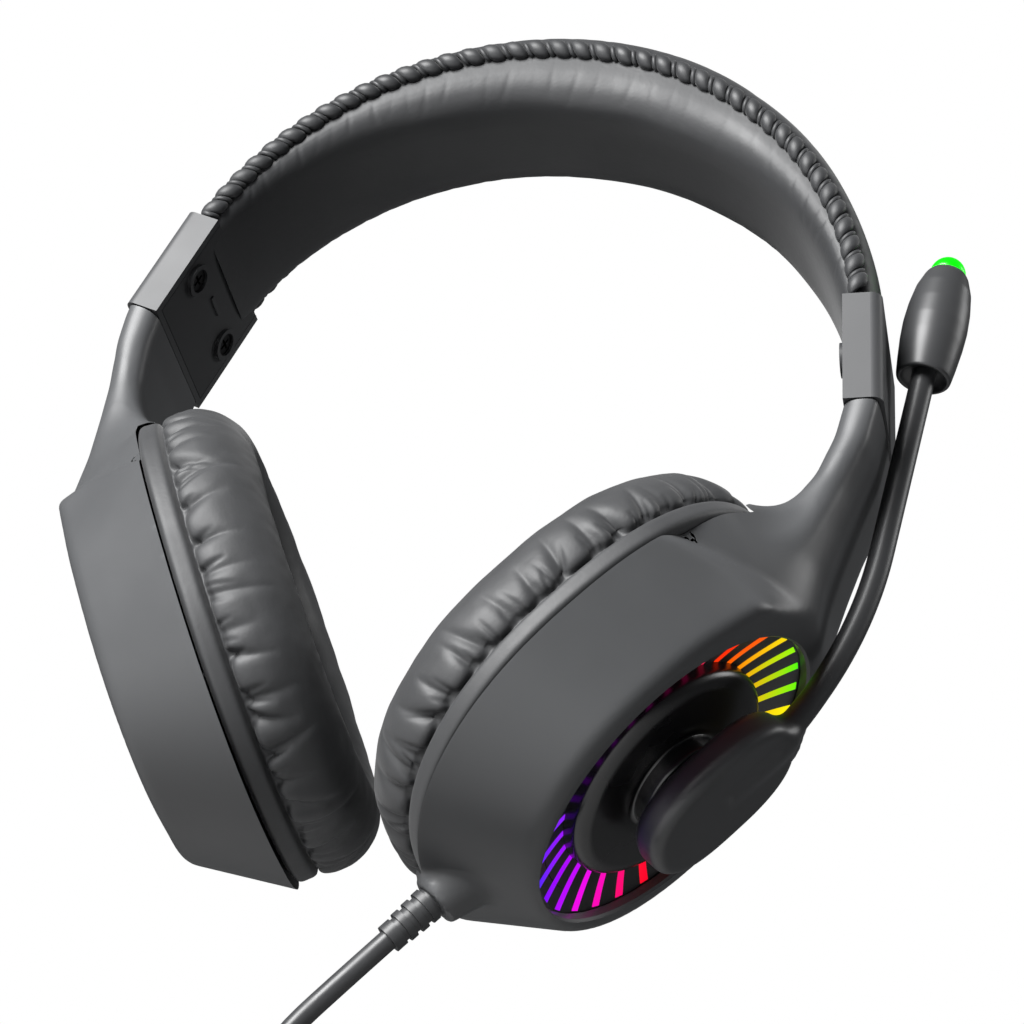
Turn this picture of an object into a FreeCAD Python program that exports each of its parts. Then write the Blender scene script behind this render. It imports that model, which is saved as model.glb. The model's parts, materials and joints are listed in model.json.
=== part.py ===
"""Over-ear gaming headset with a swinging boom microphone, sliding ear cups, lit hubs and a tied cord.

Frame: the origin is the centre of the wearer's head, midway between the ear cups. +Z points up to
the crown, +X to the wearer's left ear and the wearer faces -Y. Lengths are millimetres.

Three local frames are used:
  cup frame  a = outward normal of the cup, y = front to back, t = up along the cup
  cap frame  u = outward across the end cap, y = front to back, w = up along the slider
Both are drawn for the left (+X) side. The right side is their mirror image.
"""
import FreeCAD, Part
import math
import os
from FreeCAD import Placement, Rotation, Vector

# ---------------------------------------------------------------- driving dimensions
# headband: an elliptical arch in the XZ plane, measured at its stitched edges
BAND_CENTRE_Z = 72.0
BAND_HALF_WIDTH_X = 75.0
BAND_HEIGHT = 80.0
BAND_HALF_DEPTH = 17.3
COVER_AT_CROWN = 7.8
COVER_AT_CAP = 3.6
CUSHION_AT_CROWN = 14.0
CUSHION_AT_CAP = 3.7
LACE_RADIUS = 1.7
SPRING_THICK = 0.8
SPRING_WIDTH = 12.0
SPRING_INSET = 1.5
WIRE_RADIUS = 0.8
WIRE_Y = 9.6
WIRE_INSET = 1.1
ROD_SECTIONS = 19
CORE_GAP = 2.6

# end caps and sliders, in the cap frame
CAP_FOOT_X = 77.7
CAP_FOOT_Z = 70.2
CAP_LEAN_DEG = 12.7
CAP_LENGTH = 26.0
CAP_THICK = 8.0
CAP_WALL = 1.7
PLATE_THICK = 1.8
SEAM = 0.3
END_SCREW_Y = 11.6
END_SCREW_W = 14.0
END_SCREW_RADIUS = 1.4
SLIDER_THICK = 1.6
SLIDER_WIDTH = 14.0
SLIDER_UP = 34.0
SLIDER_DOWN = 7.0
SLIDER_INNER_U = -0.7
SLIDER_PLAY = 0.35
RIVET_Y = 4.0
RIVET_DOWN = 3.6

# panel on the inner side of each arm
COVER_FOOT_Z = 44.5
COVER_TOP_Z = 63.0
COVER_FOOT_HALF = 13.0
COVER_TIP_HALF = 5.0
COVER_THICK = 1.4

# ear cups, in the cup frame
CUP_CENTRE_X = 41.1
CUP_TOE_DEG = 32.5
RIM_HALF_T = 47.8
RIM_HALF_Y = 45.1
FACE_A = 19.4
FACE_HALF_T = 37.4
FACE_HALF_Y = 34.9
FACE_SHIFT_T = 2.0
OVAL_POWER = 2.3
SHELL_WALL = 2.2
FACE_EDGE = 2.2

# lit disc and hub
DISC_HALF_T = 34.2
DISC_HALF_Y = 30.8
DISC_EDGE_A = 17.8
DISC_FOOT_A = 14.6
DISC_THICK = 1.6
DISC_FLANGE = 1.6
HUB_RADIUS = 23.2
HUB_TOP_RADIUS = 20.6
HUB_TOP_A = 18.2
SLOTS = 30
SLOT_WIDTH = 1.7
GLOW_THICK = 1.4
LED_RING_OUT = 29.0
LED_RING_IN = 10.0
LED_A = 9.6
LED_THICK = 1.2

# microphone, pivot and boom
PIVOT_RADIUS = 10.4
PIVOT_BASE_A = 21.0
PIVOT_GAP = 0.25
SHAFT_RADIUS = 3.9
SHAFT_PLAY = 0.08
MIC_BLOCK_A = 24.0
MIC_BLOCK_TOP_A = 30.0
MIC_BLOCK_HALF_T = 18.5
MIC_BLOCK_HALF_Y = 13.0
MIC_BLOCK_T = 3.5
MIC_BLOCK_Y = 0.5
BOOM_RADIUS = 2.5
BOOM_START_A = 27.4
BOOM_START_T = 17.5
BOOM_LEAN_DEG = 4.0
BOOM_BEND_DEG = 31.5
BOOM_BEND_RADIUS = 95.0
BOOM_STRAIGHT = 41.0
BOOM_CLEARANCE = 0.6
CAPSULE_LENGTH = 30.0
CAPSULE_RADIUS = 6.7
CAPSULE_COLLAR = 5.0
TIP_LENGTH = 3.2
MIC_ELEMENT_RADIUS = 3.0

# ear pads, baffles and drivers
PAD_HALF_T = 47.2
PAD_HALF_Y = 44.6
PAD_HOLE_T = 25.0
PAD_HOLE_Y = 22.4
PAD_SHIFT_T = 0.8
PAD_THICK = 20.8
PAD_CLEAR = 0.3
PAD_CROWN = 7.5
BAFFLE_A = 0.8
BAFFLE_THICK = 2.0
DRIVER_RADIUS = 20.2
DRIVER_DEPTH = 3.6
CONE_RADIUS = 17.5
MAGNET_RADIUS = 9.0
MAGNET_DEPTH = 2.6
BAFFLE_SCREW_Y = 30.0
BAFFLE_SCREW_T = 24.0
POST_RADIUS = 3.2
POST_LENGTH = 10.0

# cord and its plug
CORD_RADIUS = 2.1
CORD_EXIT_A = 2.6
BOSS_RADIUS = 5.8
BOSS_END_T = -49.6
RELIEF_LENGTH = 11.0
COIL_TURN_RADIUS = 25.0
COIL_CENTRE = Vector(21.85, -2.0, -140.0)
COIL_HALF_WIDTH = 9.0
COIL_HALF_DEPTH = 8.5
PLUG_LENGTH = 20.0
PLUG_WIDTH = 14.0
PLUG_THICK = 7.6
PLUG_FOOT = Vector(-14.0, -6.3, -150.0)
USB_WIDTH = 12.0
USB_THICK = 4.5
USB_LENGTH = 18.75

# the cord's route below the relief, one point per bend
CORD_ROUTE = [
    Vector(4.36, 0.0, -64.37),
    Vector(-2.2, -0.4, -75.6),
    Vector(-6.6, -1.0, -88.8),
    Vector(-8.9, -1.6, -103.4),
    Vector(-9.5, -2.0, -119.0),
    Vector(-9.5, -2.0, -133.0),
]

X_AXIS = Vector(1, 0, 0)
Y_AXIS = Vector(0, 1, 0)
Z_AXIS = Vector(0, 0, 1)
ZERO = Vector(0, 0, 0)


# ---------------------------------------------------------------- frames and small helpers
CUP_FRAME = Placement(Vector(CUP_CENTRE_X, 0, 0), Rotation(Y_AXIS, CUP_TOE_DEG))
CAP_FRAME = Placement(Vector(CAP_FOOT_X, 0, CAP_FOOT_Z), Rotation(Y_AXIS, -CAP_LEAN_DEG))


def placed(shape, frame):
    """Copy of a shape drawn in a local frame, moved to its place on the left side."""
    moved = shape.copy()
    moved.transformShape(frame.toMatrix(), True)
    return moved


def on_side(shape, side):
    """The left shape itself, or its mirror image for the right side."""
    if side == "left":
        return shape
    return shape.mirror(ZERO, X_AXIS)


def save(shape, node):
    """Write one sub-part."""
    solids = shape.Solids
    body = solids[0] if len(solids) == 1 else Part.makeCompound(solids)
    body.exportStep("parts/" + node + ".step")


def block(low, high):
    """Box between two corners."""
    size = high - low
    return Part.makeBox(size.x, size.y, size.z, low)


def disc_a(radius, low, high, y=0.0, t=0.0):
    """Round rod along a, between two depths."""
    return Part.makeCylinder(radius, high - low, Vector(low, y, t), X_AXIS)


def ring_a(outer, inner, low, high):
    """Round ring along a, between two depths."""
    return disc_a(outer, low, high).cut(disc_a(inner, low - 1, high + 1))


def oval_point(half_t, half_y, power, angle):
    """Point of a superellipse in the y-t plane."""
    c = math.cos(angle)
    s = math.sin(angle)
    t = math.copysign(abs(c) ** (2.0 / power), c) * half_t
    y = math.copysign(abs(s) ** (2.0 / power), s) * half_y
    return Vector(0, y, t)


def oval_wire(a, half_t, half_y, power, shift_t=0.0, shift_y=0.0):
    """Closed smooth superellipse at depth a."""
    count = 28
    centre = Vector(a, shift_y, shift_t)
    points = []
    for k in range(count):
        points.append(centre + oval_point(half_t, half_y, power, 2 * math.pi * (k + 0.5) / count))
    curve = Part.BSplineCurve()
    curve.interpolate(points, True)
    return Part.Wire([curve.toShape()])


def ellipse_wire(a, half_t, half_y, shift_t=0.0):
    """Closed ellipse in the y-t plane at depth a."""
    centre = Vector(a, 0, shift_t)
    if abs(half_t - half_y) < 0.01:
        return Part.Wire([Part.Circle(centre, X_AXIS, half_t).toShape()])
    top = centre + Vector(0, 0, half_t)
    side = centre + Vector(0, half_y, 0)
    return Part.Wire([Part.Ellipse(top, side, centre).toShape()])


def between(wires):
    """Solid with straight sides between wires."""
    return Part.makeLoft(wires, True, True)


def round_edges(shape, radius, chosen):
    """Fillet the edges that a test picks out."""
    edges = [edge for edge in shape.Edges if chosen(edge)]
    return shape.makeFillet(radius, edges)


# ---------------------------------------------------------------- headband
def arch(half_x, height, half_depth):
    """Solid elliptical disc in the XZ plane, twice the half depth thick."""
    centre = Vector(0, -half_depth, BAND_CENTRE_Z)
    top = centre + Vector(0, 0, height)
    side = centre + Vector(half_x, 0, 0)
    if height > half_x:
        ellipse = Part.Ellipse(top, side, centre)
    else:
        ellipse = Part.Ellipse(side, top, centre)
    face = Part.Face(Part.Wire([ellipse.toShape()]))
    return face.extrude(Vector(0, 2 * half_depth, 0))


def above_caps(lift=0.15):
    """Space above both end caps: a wedge on each side, joined over the crown."""
    size = 400.0
    half = block(Vector(-size, -60, CAP_LENGTH + lift), Vector(size, 60, CAP_LENGTH + size))
    left = placed(half, CAP_FRAME)
    right = left.mirror(ZERO, X_AXIS)
    return left.common(right)


def arch_layer(outer, inner, half_depth):
    """Part of the arch between two ellipses, each (half width, height)."""
    solid = arch(outer[0], outer[1], half_depth).cut(arch(inner[0], inner[1], half_depth + 1))
    return solid.common(above_caps())


def at_offset(offset):
    """Ellipse a constant amount outside the stitched edge line."""
    return (BAND_HALF_WIDTH_X + offset, BAND_HEIGHT + offset)


def slider_pocket():
    """Room for the slider inside the band's outer padding."""
    half = SLIDER_WIDTH / 2 + SLIDER_PLAY
    low = Vector(SLIDER_INNER_U - SLIDER_PLAY, -half, CAP_LENGTH - 4)
    high = Vector(SLIDER_INNER_U + SLIDER_THICK + SLIDER_PLAY, half, SLIDER_UP + 1.5)
    return placed(block(low, high), CAP_FRAME)


def soft_half_depth():
    """Half depth of cover and cushion, between the laced edges."""
    return BAND_HALF_DEPTH - LACE_RADIUS - 0.15


def headband_cover():
    """Outer padding with rounded shoulders."""
    outer = (BAND_HALF_WIDTH_X + COVER_AT_CAP, BAND_HEIGHT + COVER_AT_CROWN)
    layer = arch_layer(outer, at_offset(0.3), soft_half_depth())
    crown_z = BAND_CENTRE_Z + outer[1]

    def shoulder(edge):
        return edge.BoundBox.ZMax > crown_z - 0.5 and edge.BoundBox.XLength > BAND_HALF_WIDTH_X

    layer = round_edges(layer, 2.6, shoulder)
    pocket = slider_pocket()
    return layer.cut(pocket).cut(pocket.mirror(ZERO, X_AXIS))


def headband_cushion():
    """Inner padding that rests on the head."""
    inner = (BAND_HALF_WIDTH_X - CUSHION_AT_CAP, BAND_HEIGHT - CUSHION_AT_CROWN)
    layer = arch_layer(at_offset(-CORE_GAP), inner, soft_half_depth())
    crown_z = BAND_CENTRE_Z + inner[1]

    def shoulder(edge):
        box = edge.BoundBox
        return abs(box.ZMax - crown_z) < 0.5 and box.XLength > BAND_HALF_WIDTH_X

    return round_edges(layer, 2.6, shoulder)


def rod_end(offset, lift):
    """Angle from the crown at which a line along the arch comes down to the cap's top plus a lift."""
    half_x, height = at_offset(offset)
    to_cap = CAP_FRAME.inverse()
    low = 0.0
    high = math.pi
    while high - low > 1e-6:
        middle = (low + high) / 2
        x = half_x * math.sin(middle)
        z = BAND_CENTRE_Z + height * math.cos(middle)
        if to_cap.multVec(Vector(x, 0, z)).z > CAP_LENGTH + lift:
            low = middle
        else:
            high = middle
    return low


def band_rod(offset, y, radius, lift):
    """Round rod that follows the arch from cap to cap."""
    half_x, height = at_offset(offset)
    centre = Vector(0, y, BAND_CENTRE_Z)
    end = rod_end(offset, lift)
    sections = []
    for k in range(ROD_SECTIONS):
        angle = end * (2 * k / (ROD_SECTIONS - 1) - 1)
        point = centre + Vector(half_x * math.sin(angle), 0, height * math.cos(angle))
        along = Vector(half_x * math.cos(angle), 0, -height * math.sin(angle))
        sections.append(Part.Wire([Part.Circle(point, along, radius).toShape()]))
    return Part.makeLoft(sections, True, False)


def headband_spring():
    """Steel strip that grips the head, with its ends inside the caps."""
    outer = at_offset(-SPRING_INSET + SPRING_THICK / 2)
    inner = at_offset(-SPRING_INSET - SPRING_THICK / 2)
    solid = arch(outer[0], outer[1], SPRING_WIDTH / 2)
    solid = solid.cut(arch(inner[0], inner[1], SPRING_WIDTH / 2 + 1))
    return solid.common(above_caps(-6.0))


# ---------------------------------------------------------------- end caps
def cap_block():
    """Outer form of an end cap, with soft outer edges."""
    low = Vector(-CAP_THICK / 2, -BAND_HALF_DEPTH - 0.7, SEAM)
    high = Vector(CAP_THICK / 2, BAND_HALF_DEPTH + 0.7, CAP_LENGTH)
    solid = block(low, high)

    def outer_long(edge):
        box = edge.BoundBox
        return box.XMin > CAP_THICK / 2 - 0.01 and box.ZLength > CAP_LENGTH / 2

    return round_edges(solid, 2.4, outer_long)


def end_cap():
    """Outer shell of the cap, open towards the head, with two screw posts."""
    half = BAND_HALF_DEPTH + 0.7 - CAP_WALL
    low = Vector(-CAP_THICK / 2 - 1, -half, SEAM + 1.4)
    high = Vector(CAP_THICK / 2 - CAP_WALL, half, CAP_LENGTH + 1)
    solid = cap_block().cut(block(low, high))
    posts = []
    for y in (-END_SCREW_Y, END_SCREW_Y):
        foot = Vector(-CAP_THICK / 2 + PLATE_THICK + 0.1, y, END_SCREW_W)
        post = Part.makeCylinder(2.7, CAP_THICK - PLATE_THICK - CAP_WALL, foot, X_AXIS)
        posts.append(post)
    solid = solid.fuse(posts).removeSplitter()
    for y in (-END_SCREW_Y, END_SCREW_Y):
        solid = solid.cut(screw_rod(y, END_SCREW_RADIUS))
    gap = SLIDER_WIDTH / 2 + SLIDER_PLAY
    low = Vector(SLIDER_INNER_U - SLIDER_PLAY, -gap, -1)
    high = Vector(SLIDER_INNER_U + SLIDER_THICK + SLIDER_PLAY, gap, SEAM + 3)
    return solid.cut(block(low, high))


def screw_rod(y, radius):
    """Shank of an end cap screw."""
    foot = Vector(-CAP_THICK / 2 + 0.9, y, END_SCREW_W)
    return Part.makeCylinder(radius, 4.6, foot, X_AXIS)


def end_plate():
    """Inner plate of the cap, with raised rings round its screws."""
    half = BAND_HALF_DEPTH + 0.7 - CAP_WALL - 0.15
    low = Vector(-CAP_THICK / 2, -half, SEAM + 1.55)
    high = Vector(-CAP_THICK / 2 + PLATE_THICK, half, CAP_LENGTH - 0.1)
    plate = block(low, high)
    for y in (-END_SCREW_Y, END_SCREW_Y):
        ring = Part.makeCylinder(3.6, 1.4, Vector(-CAP_THICK / 2 - 0.9, y, END_SCREW_W), X_AXIS)
        plate = plate.fuse(ring)
    mark = block(Vector(-CAP_THICK / 2 - 0.4, -3.0, 15.4), Vector(-CAP_THICK / 2 + 0.2, 3.0, 16.4))
    plate = plate.fuse(mark)
    for y in (-END_SCREW_Y, END_SCREW_Y):
        head = Part.makeCylinder(2.6, 2.0, Vector(-CAP_THICK / 2 - 1.0, y, END_SCREW_W), X_AXIS)
        plate = plate.cut(head).cut(screw_rod(y, END_SCREW_RADIUS + 0.1))
    return plate


def cross_recess(size, depth, foot):
    """Cross-shaped driver recess that opens towards the head."""
    arm_y = block(foot + Vector(-0.1, -size, -0.3), foot + Vector(depth, size, 0.3))
    arm_w = block(foot + Vector(-0.1, -0.3, -size), foot + Vector(depth, 0.3, size))
    return arm_y.fuse(arm_w)


def end_screws():
    """Two pan-head screws that hold the plate to the cap."""
    screws = []
    for y in (-END_SCREW_Y, END_SCREW_Y):
        face = Vector(-CAP_THICK / 2 - 0.35, y, END_SCREW_W)
        head = Part.makeCylinder(2.4, 1.35, face, X_AXIS)
        shank = Part.makeCylinder(END_SCREW_RADIUS, 4.4, face + Vector(1.3, 0, 0), X_AXIS)
        screws.append(head.fuse(shank).cut(cross_recess(1.5, 0.8, face)))
    return Part.makeCompound(screws)


# ---------------------------------------------------------------- cup shell, arm and slider
def cup_form(wall):
    """Tapered oval bucket from rim to face, grown inward by a wall."""
    low = 0.0 if wall == 0 else -1.0
    high = FACE_A - wall
    slope_t = (RIM_HALF_T - FACE_HALF_T) / FACE_A
    slope_y = (RIM_HALF_Y - FACE_HALF_Y) / FACE_A
    wires = []
    for a in (low, high):
        half_t = RIM_HALF_T - slope_t * a - wall
        half_y = RIM_HALF_Y - slope_y * a - wall
        wires.append(oval_wire(a, half_t, half_y, OVAL_POWER, FACE_SHIFT_T * a / FACE_A))
    return between(wires)


def arm_outline(z, inner_x, outer_x, half_y, corner):
    """Rounded rectangle across the arm at one height."""
    low_x = inner_x + corner
    high_x = outer_x - corner
    low_y = -half_y + corner
    high_y = half_y - corner
    bulge = corner * math.sqrt(0.5)

    def arc(x, y, sx, sy, first):
        ends = [Vector(x + sx * corner, y, z), Vector(x, y + sy * corner, z)]
        middle = Vector(x + sx * bulge, y + sy * bulge, z)
        if first == "y":
            ends.reverse()
        return Part.Arc(ends[0], middle, ends[1]).toShape()

    edges = [
        Part.makeLine(Vector(low_x, -half_y, z), Vector(high_x, -half_y, z)),
        arc(high_x, low_y, 1, -1, "y"),
        Part.makeLine(Vector(outer_x, low_y, z), Vector(outer_x, high_y, z)),
        arc(high_x, high_y, 1, 1, "x"),
        Part.makeLine(Vector(high_x, half_y, z), Vector(low_x, half_y, z)),
        arc(low_x, high_y, -1, 1, "y"),
        Part.makeLine(Vector(inner_x, high_y, z), Vector(inner_x, low_y, z)),
        arc(low_x, low_y, -1, -1, "x"),
    ]
    return Part.Wire(edges)


def arm_form():
    """Arm that rises from the cup's shoulder to the end cap."""
    half = BAND_HALF_DEPTH + 0.6
    outlines = [
        arm_outline(14.0, 55.0, 73.0, 29.5, 2.2),
        arm_outline(23.0, 58.0, 78.2, 27.0, 2.2),
        arm_outline(32.0, 62.0, 78.0, 22.6, 2.2),
        arm_outline(42.0, 67.4, 78.9, half + 1.6, 2.2),
        arm_outline(52.0, 71.9, 79.9, half + 0.2, 2.2),
        arm_outline(62.0, 73.7, 81.5, half, 2.2),
        arm_outline(74.0, 73.6, 80.9, half, 2.2),
    ]
    arm = Part.makeLoft(outlines, True, False)
    top = placed(block(Vector(-60, -60, -200), Vector(60, 60, 0)), CAP_FRAME)
    return arm.common(top)


def cup_outer():
    """Whole outer form of shell and arm, in the room's frame."""
    cup = cup_form(0.0)

    def face_edge(edge):
        return edge.BoundBox.XMin > FACE_A - 0.05

    cup = round_edges(cup, FACE_EDGE, face_edge)
    return placed(cup, CUP_FRAME).fuse(arm_form())


def slider_bar(grow, low_w, high_w):
    """Slider strip, or the room for it when grown."""
    half = SLIDER_WIDTH / 2 + grow
    low = Vector(SLIDER_INNER_U - grow, -half, low_w)
    high = Vector(SLIDER_INNER_U + SLIDER_THICK + grow, half, high_w)
    return block(low, high)


def slider_rivets(grow):
    """Two hidden rivets that fix the slider in the arm, or the room for them when grown."""
    rivets = []
    for y in (-RIVET_Y, RIVET_Y):
        foot = Vector(SLIDER_INNER_U - 2.0 - grow, y, -RIVET_DOWN)
        head = Part.makeCylinder(1.9 + grow, 1.0 + 2 * grow, foot, X_AXIS)
        shank = Part.makeCylinder(1.0 + grow, 4.4 + 2 * grow, foot, X_AXIS)
        rivets.append(head.fuse(shank))
    return Part.makeCompound(rivets)


def slider():
    """Steel slider strip, fixed in the arm and free in the cap."""
    bar = slider_bar(0.0, -SLIDER_DOWN, SLIDER_UP)
    bar = bar.cut(slider_rivets(0.05))
    for k in range(6):
        notch = Part.makeCylinder(0.8, 20, Vector(-10, SLIDER_WIDTH / 2, SLIDER_UP - 6 - 4 * k), X_AXIS)
        bar = bar.cut(notch)
    return bar


def cover_outline(grow):
    """Curved triangular panel on the arm's inner side, drawn flat in the YZ plane."""
    foot = COVER_FOOT_Z - grow
    top = COVER_TOP_Z + grow
    half = COVER_FOOT_HALF + grow
    tip = COVER_TIP_HALF + grow
    bulge_z = 0.45 * top + 0.55 * foot
    bulge_y = 0.82 * half
    front = Part.Arc(Vector(0, -tip, top), Vector(0, -bulge_y, bulge_z), Vector(0, -half, foot))
    rear = Part.Arc(Vector(0, half, foot), Vector(0, bulge_y, bulge_z), Vector(0, tip, top))
    edges = [
        front.toShape(),
        Part.makeLine(Vector(0, -half, foot), Vector(0, half, foot)),
        rear.toShape(),
        Part.makeLine(Vector(0, tip, top), Vector(0, -tip, top)),
    ]
    return Part.Face(Part.Wire(edges))


def arm_skin(grow, depth):
    """Inner skin of the arm, as thick as the depth, under the panel's outline."""
    prism = cover_outline(grow).extrude(Vector(CAP_FOOT_X + 40, 0, 0))
    deeper = arm_form()
    deeper.translate(Vector(depth, 0, 0))
    return arm_form().common(prism).cut(deeper)


def arm_cover():
    """Panel on the arm's inner side, flush with the arm."""
    return arm_skin(0.0, COVER_THICK)


def baffle_posts(low, high, radius):
    """Rods at the four baffle screws."""
    rods = []
    for y in (-BAFFLE_SCREW_Y, BAFFLE_SCREW_Y):
        for t in (-BAFFLE_SCREW_T, BAFFLE_SCREW_T):
            rods.append(disc_a(radius, low, high, y, t))
    return rods


def cable_boss():
    """Wedge under the cup that the cord's relief sits in."""
    foot = Vector(CORD_EXIT_A + 1.6, 0, -38.0)
    return Part.makeCone(BOSS_RADIUS + 3.4, BOSS_RADIUS, -BOSS_END_T - 38.0, foot, -Z_AXIS)


def cup_shell(side):
    """One-piece shell with its arm, hollow, open at the rim and at the face."""
    outer = cup_outer()
    if side == "left":
        keep_in = block(Vector(0, -30, -80), Vector(40, 30, 0))
        outer = outer.fuse(placed(cable_boss().common(keep_in), CUP_FRAME))
    hollow = cup_form(SHELL_WALL)
    if side == "left":
        hollow = hollow.fuse(Part.makeCylinder(3.1, 30, Vector(CORD_EXIT_A + 1.0, 0, -30), -Z_AXIS))
    mouth = between([
        ellipse_wire(DISC_EDGE_A - 4, DISC_HALF_T, DISC_HALF_Y, FACE_SHIFT_T / 2),
        ellipse_wire(FACE_A + 6, DISC_HALF_T, DISC_HALF_Y, FACE_SHIFT_T / 2),
    ])
    hollow = hollow.fuse(mouth)
    shell = outer.cut(placed(hollow, CUP_FRAME))
    posts = []
    post_foot = BAFFLE_A + BAFFLE_THICK
    for post in baffle_posts(post_foot, post_foot + POST_LENGTH, POST_RADIUS):
        posts.append(placed(post, CUP_FRAME).common(outer))
    shell = shell.fuse(posts)
    for hole in baffle_posts(0, post_foot + 7.0, 1.25):
        shell = shell.cut(placed(hole, CUP_FRAME))
    room = slider_bar(0.05, -SLIDER_DOWN - 0.05, 5.0)
    shell = shell.cut(placed(room, CAP_FRAME))
    shell = shell.cut(placed(slider_rivets(0.05), CAP_FRAME))
    if side == "left":
        shell = shell.cut(placed(boom_sweep(), CUP_FRAME))
    return shell.cut(arm_skin(0.12, COVER_THICK + 0.1))


# ---------------------------------------------------------------- lit face
def dish(lower):
    """Air above the dished disc, lowered by an amount: foot circle to edge oval, then straight up."""
    foot = DISC_FOOT_A - lower
    edge = DISC_EDGE_A - lower
    shift = FACE_SHIFT_T / 2
    cone = between([
        ellipse_wire(foot, HUB_RADIUS, HUB_RADIUS - 0.02),
        ellipse_wire(edge, DISC_HALF_T - 0.7, DISC_HALF_Y - 0.7, shift),
    ])
    sleeve = between([
        ellipse_wire(edge, DISC_HALF_T - 0.7, DISC_HALF_Y - 0.7, shift),
        ellipse_wire(edge + 8, DISC_HALF_T - 0.7, DISC_HALF_Y - 0.7, shift),
    ])
    return cone.fuse(sleeve)


def disc_plug(low, high, grow):
    """Straight oval plug of the face opening."""
    shift = FACE_SHIFT_T / 2
    return between([
        ellipse_wire(low, DISC_HALF_T + grow, DISC_HALF_Y + grow, shift),
        ellipse_wire(high, DISC_HALF_T + grow, DISC_HALF_Y + grow, shift),
    ])


def slot_cutters():
    """Radial slots round the hub, each a little wider at its outer end."""
    cutters = []
    for k in range(SLOTS):
        angle = 2 * math.pi * (k + 0.5) / SLOTS
        c = math.cos(angle)
        s = math.sin(angle)
        reach = 1.0 / math.hypot(c / (DISC_HALF_T - 1.9), s / (DISC_HALF_Y - 1.9)) + FACE_SHIFT_T / 2 * c
        near = HUB_RADIUS + 0.9
        half_near = SLOT_WIDTH / 2 - 0.1
        half_far = SLOT_WIDTH / 2 + 0.2
        corners = [(near, -half_near), (reach, -half_far), (reach, half_far), (near, half_near)]
        points = []
        for radial, across in corners:
            points.append(Vector(5, radial * s + across * c, radial * c - across * s))
        points.append(points[0])
        cutters.append(Part.Face(Part.makePolygon(points)).extrude(Vector(20, 0, 0)))
    return cutters


def slot_disc():
    """Dished disc with light slots, and the flange that seats it behind the face."""
    seat = FACE_A - SHELL_WALL - 0.1
    plate = dish(DISC_THICK).cut(dish(0.0)).common(disc_plug(5, FACE_A - 0.6, -0.15))
    lip = disc_plug(seat - DISC_FLANGE, seat, 1.6).cut(disc_plug(5, 40, -0.7))
    rim = disc_plug(seat - DISC_FLANGE, FACE_A - 0.8, -0.15).cut(disc_plug(5, 40, -0.85))
    disc = plate.fuse([lip, rim])
    disc = disc.cut(Part.makeCompound(slot_cutters()))
    return disc.cut(disc_a(SHAFT_RADIUS + SHAFT_PLAY, 5, 20))


def light_ring():
    """Translucent ring behind the slots."""
    gap = 0.1
    ring = dish(DISC_THICK + gap + GLOW_THICK).cut(dish(DISC_THICK + gap))
    ring = ring.common(disc_plug(5, DISC_EDGE_A - DISC_THICK - 0.9, -1.0))
    return ring.cut(disc_a(HUB_RADIUS - 3.0, 5, 20))


def led_board():
    """Ring board with its light-emitting diodes."""
    board = ring_a(LED_RING_OUT, LED_RING_IN, LED_A, LED_A + LED_THICK)
    count = 10
    for k in range(count):
        angle = 2 * math.pi * k / count
        y = 26.5 * math.sin(angle)
        t = 26.5 * math.cos(angle)
        low = Vector(LED_A + LED_THICK - 0.1, y - 1.6, t - 1.6)
        board = board.fuse(block(low, low + Vector(0.9, 3.2, 3.2)))
    return board


def hub(side):
    """Glossy hub dome. The left one carries the boss that the microphone turns on."""
    foot = DISC_FOOT_A
    crown = 0.5
    half_chord = HUB_TOP_RADIUS
    edges = [
        Part.makeLine(Vector(foot, 0, 0), Vector(foot, 0, HUB_RADIUS - 0.25)),
        Part.makeLine(Vector(foot, 0, HUB_RADIUS - 0.25), Vector(foot + 0.8, 0, HUB_RADIUS - 0.25)),
        Part.makeLine(Vector(foot + 0.8, 0, HUB_RADIUS - 0.25), Vector(HUB_TOP_A - crown, 0, half_chord)),
        Part.Arc(
            Vector(HUB_TOP_A - crown, 0, half_chord),
            Vector(HUB_TOP_A - crown / 4, 0, half_chord / 2),
            Vector(HUB_TOP_A, 0, 0),
        ).toShape(),
        Part.makeLine(Vector(HUB_TOP_A, 0, 0), Vector(foot, 0, 0)),
    ]
    dome = Part.Face(Part.Wire(edges)).revolve(ZERO, X_AXIS, 360)
    if side == "right":
        button = disc_a(PIVOT_RADIUS, foot, HUB_TOP_A + 0.6)
        return dome.cut(disc_a(PIVOT_RADIUS, 5, 40)).fuse(button)
    boss = disc_a(PIVOT_RADIUS, HUB_TOP_A - 1.5, PIVOT_BASE_A)
    return dome.fuse(boss).cut(disc_a(SHAFT_RADIUS + SHAFT_PLAY, 5, 40))


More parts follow.
